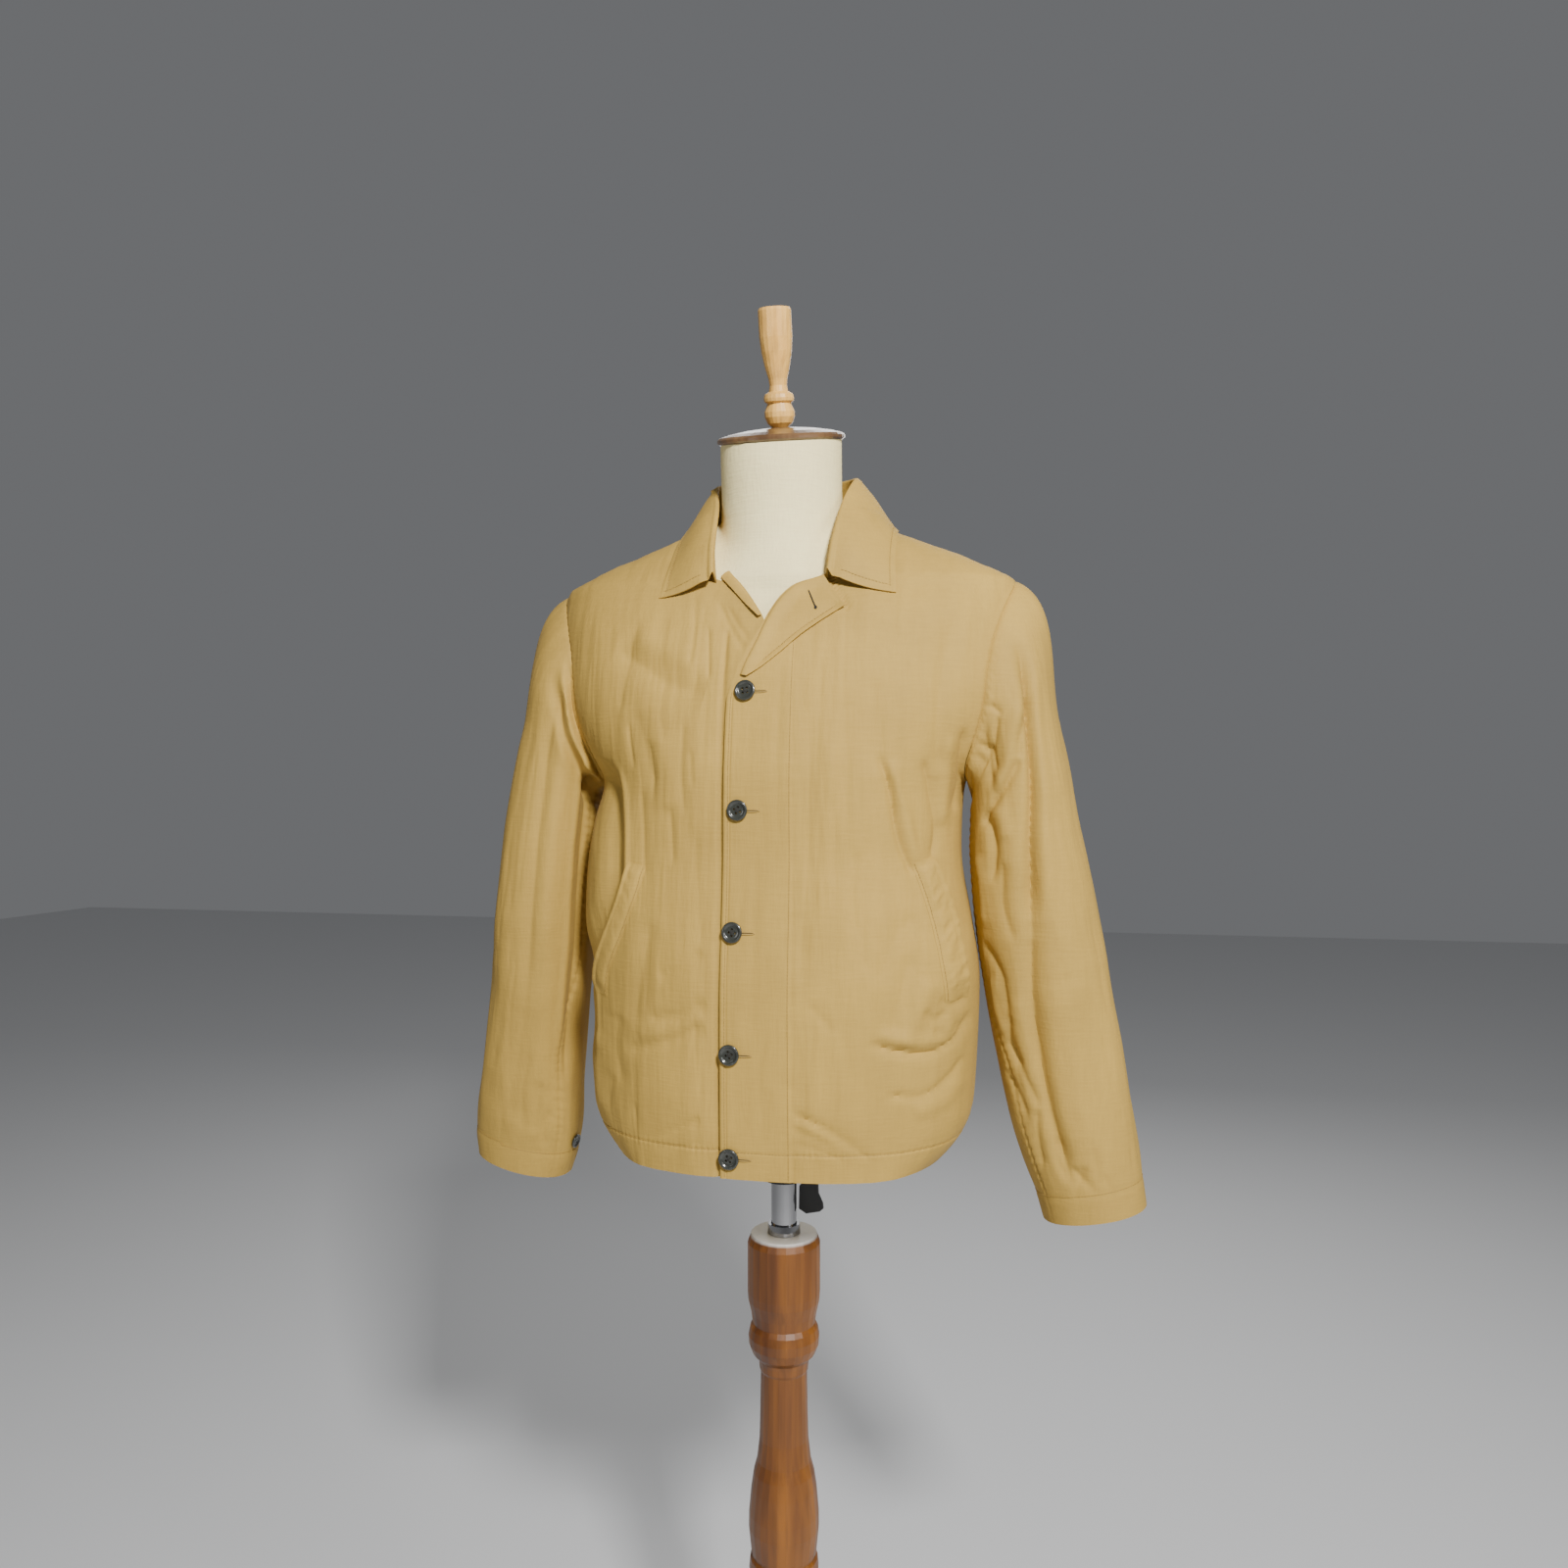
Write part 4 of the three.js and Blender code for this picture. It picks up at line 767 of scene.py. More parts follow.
def plain_material(name, colour, roughness, metallic=0.0, coat=0.0):
    mat, nodes, links, bsdf = new_material(name)
    tint = ramp(nodes, links, noise_at(nodes, links, 40, 2), 0.3, 0.7)
    c = tuple(colour)
    tone = mix_colour(nodes, links, tint, tuple(v * 0.9 for v in c), c)
    links.new(tone, bsdf.inputs["Base Color"])
    bsdf.inputs["Roughness"].default_value = roughness
    bsdf.inputs["Metallic"].default_value = metallic
    bsdf.inputs["Coat Weight"].default_value = coat
    return mat


# Repeats made with geometry nodes


def stitch_group(name, material):
    """Stitches along the edges of a mesh of lines: pitch, length and thickness are inputs."""
    group = bpy.data.node_groups.new(name, "GeometryNodeTree")
    face = group.interface
    face.new_socket("Geometry", in_out="INPUT", socket_type="NodeSocketGeometry")
    for label, value in (("Pitch", 0.0032), ("Stitch length", 0.0023), ("Thread radius", 0.00033)):
        socket = face.new_socket(label, in_out="INPUT", socket_type="NodeSocketFloat")
        socket.default_value = value
    face.new_socket("Geometry", in_out="OUTPUT", socket_type="NodeSocketGeometry")
    nodes, links = group.nodes, group.links
    source = nodes.new("NodeGroupInput")
    out = nodes.new("NodeGroupOutput")
    curve = nodes.new("GeometryNodeMeshToCurve")
    points = nodes.new("GeometryNodeCurveToPoints")
    points.mode = "LENGTH"
    stitch = nodes.new("GeometryNodeMeshCylinder")
    stitch.inputs["Vertices"].default_value = 5
    place = nodes.new("GeometryNodeInstanceOnPoints")
    realize = nodes.new("GeometryNodeRealizeInstances")
    paint = nodes.new("GeometryNodeSetMaterial")
    paint.inputs["Material"].default_value = material
    align = nodes.new("FunctionNodeAlignEulerToVector")
    align.axis = "Z"
    links.new(source.outputs["Geometry"], curve.inputs["Mesh"])
    links.new(curve.outputs["Curve"], points.inputs["Curve"])
    links.new(source.outputs["Pitch"], points.inputs["Length"])
    links.new(source.outputs["Stitch length"], stitch.inputs["Depth"])
    links.new(source.outputs["Thread radius"], stitch.inputs["Radius"])
    links.new(points.outputs["Points"], place.inputs["Points"])
    links.new(points.outputs["Tangent"], align.inputs["Vector"])
    links.new(align.outputs["Rotation"], place.inputs["Rotation"])
    links.new(stitch.outputs["Mesh"], place.inputs["Instance"])
    links.new(place.outputs["Instances"], realize.inputs["Geometry"])
    links.new(realize.outputs["Geometry"], paint.inputs["Geometry"])
    links.new(paint.outputs["Geometry"], out.inputs["Geometry"])
    return group


def stitches(name, paths, material, pitch):
    """Rows of stitches along paths, as one plain mesh."""
    verts, edges = [], []
    for path in paths:
        base = len(verts)
        verts.extend((np.asarray(path) * MM).tolist())
        edges.extend((base + i, base + i + 1) for i in range(len(path) - 1))
    mesh = bpy.data.meshes.new(name + "_lines")
    mesh.from_pydata(verts, edges, [])
    obj = bpy.data.objects.new(name + "_lines", mesh)
    bpy.context.scene.collection.objects.link(obj)
    modifier = obj.modifiers.new("Stitches", "NODES")
    group = stitch_group(name + "_nodes", material)
    modifier.node_group = group
    for item in group.interface.items_tree:
        if item.name == "Pitch" and item.in_out == "INPUT":
            modifier[item.identifier] = pitch
    bpy.context.view_layer.update()
    made = bpy.data.meshes.new_from_object(obj.evaluated_get(bpy.context.evaluated_depsgraph_get()))
    bpy.data.objects.remove(obj)
    made.name = name
    result = bpy.data.objects.new(name, made)
    bpy.context.scene.collection.objects.link(result)
    return result


MATERIALS = {}


def material(key):
    """The materials, made once from the add-on's colours."""
    if not MATERIALS:
        s = settings()
        MATERIALS.update(
            cloth=cloth_material("cotton", s.cloth_colour),
            facing=cloth_material("cotton_facing", tuple(v * 1.02 for v in s.cloth_colour)),
            thread=plain_material("thread", tuple(v * 0.78 for v in s.cloth_colour), 0.7),
            hole_thread=plain_material("hole_thread", (0.02, 0.018, 0.014), 0.8),
            # Near black: painted shade inside the buttonhole slits.
            dark=plain_material("slit", (0.012, 0.01, 0.008), 0.9),
            linen=cloth_material("form_linen", s.form_colour, 0.9, 0.03, 1.4, 0.15),
            column=wood_material(
                "column_wood", (0.075, 0.02, 0.002), (0.30, 0.105, 0.008), 0.45, 0.12, 0.7815
            ),
            cap=wood_material("cap_wood", (0.10, 0.05, 0.022), (0.23, 0.125, 0.05), 0.3, 0.5),
            honey=wood_material("finial_wood", (0.7, 0.36, 0.07), (0.95, 0.6, 0.17), 0.4, 0.25),
            chrome=plain_material("chrome", (0.4, 0.4, 0.41), 0.12, 1.0),
            black=plain_material("clamp_black", (0.012, 0.012, 0.012), 0.42),
            button=plain_material("button_horn", (0.03, 0.032, 0.026), 0.24, 0.0, 0.5),
        )
    return MATERIALS[key]


def declare(obj, body, slot, *nodes):
    if nodes:
        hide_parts(*nodes)
    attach(obj, body)
    return obj


# Jacket


def front_height(x, z, side):
    """How far the cloth of a front stands out from the plain face."""
    x, z = np.broadcast_arrays(np.asarray(x, float), np.asarray(z, float))
    d = 1.75 * creased(FRONT_CREASES, x, z, 1.0, 1.3)
    d *= 1 - 0.85 * fade(1395, 1436, z)
    d += 1.0 * unevenness(x, z, 34, 120, 3) + 0.55 * unevenness(x, z, 12, 60, 5)
    d += 0.3 * unevenness(x, z, 5, 46, 6) + 0.13 * unevenness(x, z, 2.6, 30, 7)
    hem = fade(936, 905, z)
    d = d * (1 - 0.7 * hem) + hem * 0.4 * unevenness(x, z, 9, 30, 8)
    d -= 0.6 * np.exp(-(((z - HEM_STITCH_Z) / 1.3) ** 2))
    lip = 0.4 * fade(HEM_STITCH_Z + 0.5, HEM_STITCH_Z - 2, z)
    d += lip + 0.22 * np.sin(x / 0.9) * np.exp(-(((z - HEM_STITCH_Z) / 4) ** 2))
    if side > 0:
        return d + placket_height(x, z, d)
    d -= LAP * fade(LAP_FADE, LAP_REACH, -x) * (1 - fade(1400, 1420, z))
    deeper = 2.1 + 0.5 * unevenness(z, z, 46, 46, 23) + 0.7 * fade(1080, 980, z)
    d -= deeper * np.exp(-(((x + 35) / 2.8) ** 2)) * (z < 1385)
    near = x < -100
    if near.any():
        ridge = np.array(SIDE_RIDGE, float)
        away, _ = path_distance(ridge, x[near], z[near], 1.0)
        ends = fade(1268, 1236, z[near]) * fade(960, 1010, z[near])
        line = np.interp(z[near], ridge[::-1, 1], ridge[::-1, 0])
        beyond = fade(2, 8, line - x[near])
        hollow = np.exp(-(((away - SIDE_HOLLOW_AWAY) / SIDE_HOLLOW_WIDE) ** 2)) * beyond
        crest = np.exp(-((away / SIDE_RIDGE_WIDE) ** 2))
        d[near] += ends * (SIDE_HOLLOW_DEEP * hollow + SIDE_RIDGE_HIGH * crest)
    return d


def placket_height(x, z, d):
    """What the placket adds to the left front: its rounded edge, stitched lines and puckers."""
    edge = along(LEFT_EDGE, "x", z)
    into = x - edge
    low = z < 1330
    line = along(PLACKET_LINE, "x", z)
    more = -0.55 * d * fade(42, 26, x) + 0.8 * np.exp(-np.clip(into, 0, 90) / 5) * low
    more += fold_puff(into, z)
    near = (z > 1395) & (x > 45) & (x < 90)
    if near.any():
        away, _ = path_distance(CORNER_END, x[near], z[near], 1.0)
        more[near] -= 2.4 * np.exp(-((away / 1.7) ** 2))
    more -= 0.9 * np.clip(1 - into / 2.4, 0, 1) ** 2 * low
    more -= 0.55 * np.exp(-(((into - 5.6) / 1.0) ** 2)) * low
    tick = np.sin(z / 0.75 + 2.5 * unevenness(z, z, 21, 21, 25)) * (0.5 + 0.5 * unevenness(z, z, 17, 17, 26))
    more += 0.3 * tick * np.exp(-(((into - 3) / 2.6) ** 2)) * low
    drawn = 0.45 + 0.55 * fade(1200, 1100, z)
    more -= drawn * 0.8 * np.exp(-(((x - line) / 1.2) ** 2)) * (z < 1400)
    more += 0.45 * fade(line + 1, line - 2, x)
    beside = np.exp(-(((x - line) / 7) ** 2)) * drawn
    more += 0.4 * unevenness(x + 0.6 * z, z, 14, 4.5, 27) * beside
    return more


def fold_puff(into, z):
    """How far the left front and its turned back corner stand out along the fold."""
    return 2.4 * np.exp(-((into / 11) ** 2)) * fade(1328, 1356, z) * fade(1446, 1425, z)


def row_heights(step=3.4):
    z = np.concatenate(
        [
            np.arange(HEM_Z, UNDERARM_Z, step),
            HEM_STITCH_Z + np.linspace(-3.2, 3.2, 9),
            np.arange(UNDERARM_Z, ARMHOLE_TOP_Z, 3.0),
            ARMHOLE_TOP_Z - np.array([1, 0.4, 0]),
            np.arange(1442, NECK_TOP_Z, 2.0),
            [NECK_TOP_Z],
        ]
    )
    return np.unique(np.round(z, 2))


def rounded_hem(grid):
    """Draws the lower corners at both sides inwards."""
    x, z = grid[..., 0], grid[..., 2]
    shift = 23 * (np.clip(932 - z, 0, 60) / 54) ** 2.2 * fade(100, 190, np.abs(x))
    grid[..., 0] = x - np.sign(x) * shift
    return grid


def run_across(grid):
    """Distance of each point of a grid from its first column, in mm along the row."""
    step = np.linalg.norm(np.diff(grid, axis=1), axis=-1)
    return np.concatenate([np.zeros((grid.shape[0], 1)), np.cumsum(step, 1)], 1)


def run_down(grid):
    """Distance of each point of a grid from its first row, in mm along the column."""
    step = np.linalg.norm(np.diff(grid, axis=0), axis=-1)
    return np.concatenate([np.zeros((1, grid.shape[1])), np.cumsum(step, 0)], 0)


def seam_quiet(grid, sides):
    """Shares that fade movement out near the given side edges, and a groove at each."""
    total = run_across(grid)
    quiet = np.ones(total.shape)
    groove = np.zeros(total.shape)
    if "first" in sides:
        quiet *= fade(0.5, 16, total)
        groove += np.exp(-((total / 2.2) ** 2))
    if "last" in sides:
        left = total[:, -1:] - total
        quiet *= fade(0.5, 12, left)
        groove += np.exp(-((left / 2.0) ** 2))
    return quiet, groove


def front_columns(side):
    """Shares of a front's width for its columns, closer together at the stitched lines."""
    plain = np.linspace(0, 1, 196)
    if side > 0:
        fine = np.concatenate([np.linspace(0, 0.035, 16), 0.208 + np.linspace(-0.02, 0.02, 12)])
    else:
        fine = 0.147 + np.linspace(-0.03, 0.03, 16)
    return np.unique(np.round(np.concatenate([plain, fine]), 5))


def front_panel(side, edge):
    z = row_heights()
    start = angle_at(along(edge, "x", z), z)
    end = side * outer_angle(z, "front")
    s = front_columns(side)
    whole = side * np.pi / 2
    power = 1 + 2 * fade(1330, 1250, z)[:, None]
    phi = start[:, None] + (whole - start)[:, None] * s[None, :]
    phi = phi + (end - whole)[:, None] * s[None, :] ** power
    zz = np.repeat(z[:, None], len(s), 1)
    base = body_point(phi, zz)
    n = outward(base)
    quiet, groove = seam_quiet(base, ("last",))
    left = seam_distance(base)
    d = front_height(base[..., 0], zz, side) * np.maximum(quiet, (base[..., 2] < 900) * 0.4)
    d += 0.28 * np.sin(zz / 0.8 + 2 * unevenness(zz, zz, 19, 19, 29)) * np.exp(-(((left - 4) / 3.5) ** 2))
    return rounded_hem(base + n * (d - 0.7 * groove)[..., None]), n


def seam_distance(grid):
    """Distance of each point of a grid from its last column, in mm along the row."""
    total = run_across(grid)
    return total[:, -1:] - total


def back_panel(cols=150):
    z = row_heights()
    side = np.pi - outer_angle(z, "back")
    s = np.linspace(0, 1, cols)
    phi = side[:, None] + (2 * np.pi - 2 * side)[:, None] * s[None, :]
    zz = np.repeat(z[:, None], cols, 1)
    base = body_point(phi, zz)
    n = outward(base)
    quiet, groove = seam_quiet(base, ("first", "last"))
    x = base[..., 0]
    d = creased(BACK_CREASES, x, zz) + 0.7 * unevenness(x, zz, 38, 90, 31)
    d = d * (1 - fade(1440, 1480, zz))
    hem = fade(936, 905, zz)
    d = d * (1 - 0.75 * hem) - 0.55 * np.exp(-(((zz - HEM_STITCH_Z) / 1.6) ** 2))
    d = d + 0.35 * fade(HEM_STITCH_Z + 0.5, HEM_STITCH_Z - 2, zz)
    return rounded_hem(base + n * (d * quiet - 0.5 * groove)[..., None]), n


def armhole_loop(count=110):
    """Points of the armhole seam from the shoulder tip down the front and up the back."""
    t = np.linspace(0, 1, 400)
    z = ARMHOLE_TOP_Z - (ARMHOLE_TOP_Z - UNDERARM_Z) * (0.5 - 0.5 * np.cos(np.pi * t))
    front = body_point(outer_angle(z, "front"), z)
    back = body_point(np.pi - outer_angle(z, "back"), z)
    loop = []
    for line in (front, back[::-1]):
        step = np.linalg.norm(np.diff(line, axis=0), axis=1)
        long = np.concatenate([[0], np.cumsum(step)])
        at = np.linspace(0, long[-1], count + 1)[:-1]
        loop.append(np.stack([np.interp(at, long, line[:, k]) for k in range(3)], 1))
    return np.concatenate(loop), np.linspace(0, 2 * np.pi, 2 * count, endpoint=False)


def sleeve_ring(tab, z, angles):
    x, y, wide, deep, tilt = (along(tab, k, z)[:, None] for k in ("x", "y", "wide", "deep", "tilt"))
    tilt = np.radians(tilt)
    w = wide * spow(np.cos(angles), 0.92)[None, :]
    d = deep * spow(np.sin(angles), 0.92)[None, :]
    return np.stack([x + w * np.cos(tilt), y - d, z[:, None] + w * np.sin(tilt)], -1)


def sleeve_surface(tab, cap_rows=34, step=2.9):
    loop, angles = armhole_loop()
    top, low = tab["z"][0], tab["z"][-1]
    z = np.concatenate([np.arange(top, low, -step), [low]])
    rings = sleeve_ring(tab, z, angles)
    first, following = rings[0], sleeve_ring(tab, np.array([tab["z"][1]]), angles)[0]
    grid = [loop]
    for t in np.linspace(0, 1, cap_rows + 1)[1:-1]:
        high = (1 + np.cos(angles)) / 2
        span = np.linalg.norm(first - loop, axis=1)[:, None]
        leave = np.stack([0.5 + 0.6 * high, -0.25 * np.sin(angles), -1 + 0.6 * high], 1)
        leave = leave / np.linalg.norm(leave, axis=1, keepdims=True) * span
        arrive = following - first
        arrive = arrive / np.linalg.norm(arrive, axis=1, keepdims=True) * span * 1.1
        s = 1 - t
        grid.append(
            loop * (1 + 2 * t) * s * s
            + first * t * t * (3 - 2 * t)
            + leave * t * s * s
            - arrive * t * t * s
        )
    grid = np.concatenate([np.array(grid), rings])
    normals = grid_normals(grid, True)
    centre = grid.mean(1, keepdims=True)
    if np.sum(normals[40] * (grid[40] - centre[40])) < 0:
        normals = -normals
    normals[0] = outward(grid[0])
    return grid, normals, angles


def sleeve_cloth(side, tab, creases):
    grid, n, angles = sleeve_surface(tab)
    degrees = np.degrees(angles)[None, :] + 0 * grid[..., 2]
    z = grid[..., 2]
    along_axis = z - (grid[..., 0] - along(tab, "x", np.clip(z, 813, 1262))) * 0.18
    d = 1.12 * creased(creases, degrees, along_axis, 0.95, 1.6)
    d += 0.8 * unevenness(degrees, z, 26, 80, 41 + side) + 0.35 * unevenness(degrees, z, 9, 40, 45)
    d += 0.2 * unevenness(degrees, z, 4, 34, 46)
    seam = 170 - 28 * fade(1060, 950, z)
    off = (degrees - seam) * 0.95
    pucker = np.sin(z / 1.5 + off / 5 + 2 * np.sin(z / 17)) * np.exp(-((off / 7) ** 2))
    d += 0.6 * pucker - 1.0 * np.exp(-((off / 1.8) ** 2))
    edge = low_edge_distance(grid)
    cuff = fade(50, CUFF_TURN, edge)
    d = d * (1 - 0.7 * cuff)
    d -= 0.6 * np.exp(-(((edge - CUFF_TURN) / 1.8) ** 2))
    d += 0.35 * fade(CUFF_TURN + 1, CUFF_TURN - 1, edge)
    head = run_down(grid)
    d *= fade(0, 14, head)
    if side < 0:
        d += armhole_slit(degrees, head)
    d += 0.25 * np.sin(degrees / 0.9) * np.exp(-(((head - 4) / 3.5) ** 2))
    grid = grid + n * (d - 0.7 * np.exp(-((head / 2.2) ** 2)))[..., None]
    lifted = (WALL + LIE + 0.2) * fade(1300, 1268, grid[0, :, 2])
    grid[0] += n[0] * lifted[:, None]
    grid[..., 0] *= side
    n = n.copy()
    n[..., 0] *= side
    return grid, n


def armhole_slit(degrees, head):
    """The right sleeve sinks behind the front along the lower armhole, with a ridge beside it."""
    lower = fade(62, 92, degrees) * fade(176, 160, degrees)
    slit = -5.0 * np.exp(-(((head - 4) / 4.0) ** 2)) * fade(0, 3, head)
    ridge = 2.2 * np.exp(-(((head - 12) / 4.0) ** 2))
    hollow = -6.5 * np.exp(-(((head - 27) / 9.0) ** 2))
    return lower * (slit + ridge + hollow)


def low_edge_distance(grid):
    """Distance of each point of a grid from its last row, in mm along the column."""
    total = run_down(grid)
    return total[-1:] - total


def collar_surface(half=58):
    """The collar's face, from the neckline over the roll line to the edge, end to end."""
    rows = []
    for side in (1, -1):
        at = np.linspace(0, 9, half + 1)
        if side < 0:
            at = at[::-1][1:]
        get = {k: along(COLLAR, k, at, "at") for k in COLLAR if k != "at"}
        near = COLLAR_RIGHT_STAND + (1 - COLLAR_RIGHT_STAND) * fade(-40, 15, get["ny"])
        near = near if side < 0 else 1 + 0 * at
        base = lift(np.stack([get["nx"] * near, get["ny"], get["nz"]], 1), LIE + 0.6)
        top = np.stack([get["rx"] * near, get["ry"], get["rz"]], 1)
        leaf = 1 + 0 * at
        if side < 0:
            leaf = COLLAR_RIGHT_LEAF + (1 - COLLAR_RIGHT_LEAF) * fade(60, 95, get["ey"])
        edge = lift(np.stack([get["ex"] * leaf, get["ey"], get["ez"]], 1), WALL + 1.2)
        up = top - base
        up /= np.linalg.norm(up, axis=1, keepdims=True)
        out = edge - top
        out -= up * np.sum(out * up, 1, keepdims=True)
        out /= np.linalg.norm(out, axis=1, keepdims=True)
        line = [base + (top - base) * t for t in np.linspace(0, 1, 12)]
        near_end = fade(1.9, 0, at)
        sunk = np.zeros_like(top)
        sunk[:, 2] = -7.0 * near_end
        for deg in (20, 40, 60, 80, 100, 120, 135, 150):
            a = math.radians(deg)
            p = top + out * ROLL_R * (1 - math.cos(a)) + up * ROLL_R * math.sin(a)
            line.append(p + sunk * fade(10, 150, deg))
        start = line[-1]
        bulge = np.linalg.norm(edge - start, axis=1, keepdims=True) * 0.1
        for t in np.linspace(0, 1, 33)[1:]:
            p = start + (edge - start) * t + sunk * 0.45 * math.sin(math.pi * t)
            p = p + outward(p) * bulge * math.sin(math.pi * t) * (1 - t)
            least = WALL + 1.2
            low = (stand_off(p) < least)[:, None]
            p = np.where(low, lift(p, least), p)
            most = 0.9 + WALL + 9.0 * (1 - t) ** 1.6 + 30 * (1 - near_end)
            high = (stand_off(p) > most)[:, None] & (t > 0.15)
            line.append(np.where(high, lift(p, most), p))
        block = np.stack(line, 1)
        block[..., 0] *= side
        rows.append(block)
    return np.concatenate(rows)


def collar_cloth():
    grid = collar_surface()
    n = grid_normals(grid)
    if np.sum(n[10, -6] * np.array([0, -1, 0.5])) < 0:
        n = -n
    rows, cols = grid.shape[:2]
    u = np.arange(rows)[:, None] * 4.2 + 0 * grid[..., 0]
    v = np.arange(cols)[None, :] * 2.3 + 0 * grid[..., 0]
    d = 0.6 * unevenness(u, v, 22, 60, 51) * fade(20, 26, np.arange(cols))[None, :]
    edge = seam_distance(grid)
    first = run_down(grid)
    end = np.minimum(first, first[-1:] - first)
    leaf = (np.arange(cols) > 22)[None, :]
    border = np.minimum(edge, np.where(leaf, end, 1e3))
    d = d - 0.45 * np.exp(-(((border - COLLAR_STITCH) / 1.5) ** 2))
    d = d + 0.2 * fade(COLLAR_STITCH - 1, COLLAR_STITCH + 1, border) - 0.2
    d += 0.3 * np.exp(-(((border - 2.5) / 2) ** 2))
    return grid + n * (d * leaf)[..., None], n


def lapel_cloth(tab, rows=70, cols=26, puffed=2.0):
    at = np.linspace(0, len(tab["foldx"]) - 1, rows)
    index = {"i": np.arange(len(tab["foldx"])), **tab}
    fx, fz, ex, ez = (along(index, k, at, "i")[:, None] for k in ("foldx", "foldz", "edgex", "edgez"))
    t = np.linspace(0, 1, cols)[None, :]
    wide = np.hypot(ex - fx, ez - fz)
    x, z = fx + (ex - fx) * t, fz + (ez - fz) * t
    into = t * wide
    roll = np.sqrt(np.clip(1 - (1 - np.clip(into / 3.0, 0, 1)) ** 2, 0, 1))
    off = LIE + WALL - 1.3 * (1 - roll) + puffed * np.exp(-(((into - 5) / 6) ** 2)) * roll
    off = off + 0.35 * unevenness(x, z, 14, 22, 61)
    if puffed > 1.5:
        off = off + fold_puff(x - along(LEFT_EDGE, "x", z), z)
        close = (rows - 1 - np.arange(rows))[:, None] / rows * 100
        off = off + 1.9 * np.exp(-((close / 9) ** 2)) + 0.9 * np.exp(-(((wide * (1 - t)) / 4) ** 2))
    border = np.minimum(wide * (1 - t), np.linalg.norm([fx[-1] - fx, fz[-1] - fz], axis=0))
    off = off - 0.35 * np.exp(-(((border - 5) / 1.4) ** 2)) * (wide > 12)
    return on_front(x, z, off)


def welt_cloth(side, rows=90, cols=18, half=9.5):
    tab = WELT_LEFT if side > 0 else WELT_RIGHT
    at = np.linspace(0, len(tab["x"]) - 1, rows)
    index = {"i": np.arange(len(tab["x"])), **tab}
    x, z = along(index, "x", at, "i"), along(index, "z", at, "i")
    dx, dz = np.gradient(x), np.gradient(z)
    long = np.hypot(dx, dz)
    t = np.linspace(-1, 1, cols)[None, :]
    xx = x[:, None] + (-dz / long)[:, None] * half * t
    zz = z[:, None] + (dx / long)[:, None] * half * t
    run = np.cumsum(long)[:, None]
    share = run / run[-1]
    lean = run + 9 * t
    crumple = 1.5 if side > 0 else 0.35
    d = 0.8 * unevenness(lean, 6 * t + 0 * run, 7, 5, 71 + side)
    d = d + 0.5 * unevenness(lean, 9 * t + 0 * run, 3.6, 4, 75)
    d = crumple * d * (1 - 0.5 * np.abs(t)) - 0.6 * np.exp(-(((t - 0.66) / 0.12) ** 2))
    d = d + 0.9 * np.exp(-(((t - 0.86) / 0.2) ** 2))
    ends = fade(0, 0.16, share) * fade(1, 0.84, share)
    high = 0.25 + 2.5 * fade(-1, -0.2, t) * (0.35 + 0.65 * ends)
    high = high if side > 0 else 0.25 + 1.5 * fade(-1, 0.2, t) * ends
    lying = fade(-1, -0.35, t) * fade(0, 0.08, share) * fade(1, 0.9, share)
    off = (LIE + WALL + high + d) * lying + 0.3 * (1 - lying)
    off = off + front_height(side * xx, zz, side) * (1 - 0.6 * lying)
    return on_front(side * xx, zz, off)


def button_mesh(name, radius, thick, material_key):
    """A four-hole button with a raised rim, lying on the plane z = 0."""
    profile = [
        (0, 0),
        (radius * 0.6, 0),
        (radius * 0.93, thick * 0.22),
        (radius, thick * 0.55),
        (radius * 0.985, thick * 0.8),
        (radius * 0.93, thick * 0.97),
        (radius * 0.84, thick),
        (radius * 0.75, thick * 0.93),
        (radius * 0.68, thick * 0.62),
        (radius * 0.6, thick * 0.5),
        (radius * 0.35, thick * 0.56),
        (0, thick * 0.56),
    ]
    turns = 48
    verts = [(0, 0, profile[0][1])]
    for r, h in profile[1:-1]:
        for i in range(turns):
            a = 2 * math.pi * i / turns
            verts.append((r * math.cos(a), r * math.sin(a), h))
    verts.append((0, 0, profile[-1][1]))
    faces = []
    rings = len(profile) - 2
    for i in range(turns):
        j = (i + 1) % turns
        faces.append((0, 1 + j, 1 + i))
        for k in range(rings - 1):
            a, b = 1 + k * turns, 1 + (k + 1) * turns
            faces.append((a + i, a + j, b + j, b + i))
        last = 1 + (rings - 1) * turns
        faces.append((last + i, last + j, len(verts) - 1))
    obj = obj_from(name, verts, faces, material(material_key))
    cutters = []
    for dx, dy in ((-1, -1), (1, -1), (-1, 1), (1, 1)):
        bpy.ops.mesh.primitive_cylinder_add(
            vertices=14,
            radius=radius * 0.12 * MM,
            depth=thick * 3 * MM,
            location=(dx * radius * 0.2 * MM, dy * radius * 0.2 * MM, 0),
        )
        cutters.append(bpy.context.object)
    for c in cutters:
        mod = obj.modifiers.new("hole", "BOOLEAN")
        mod.operation, mod.solver, mod.object = "DIFFERENCE", "EXACT", c
    mesh = bpy.data.meshes.new_from_object(obj.evaluated_get(bpy.context.evaluated_depsgraph_get()))
    obj.modifiers.clear()
    obj.data = mesh
    for c in cutters:
        bpy.data.objects.remove(c)
    sharpen(obj, 42)
    return obj


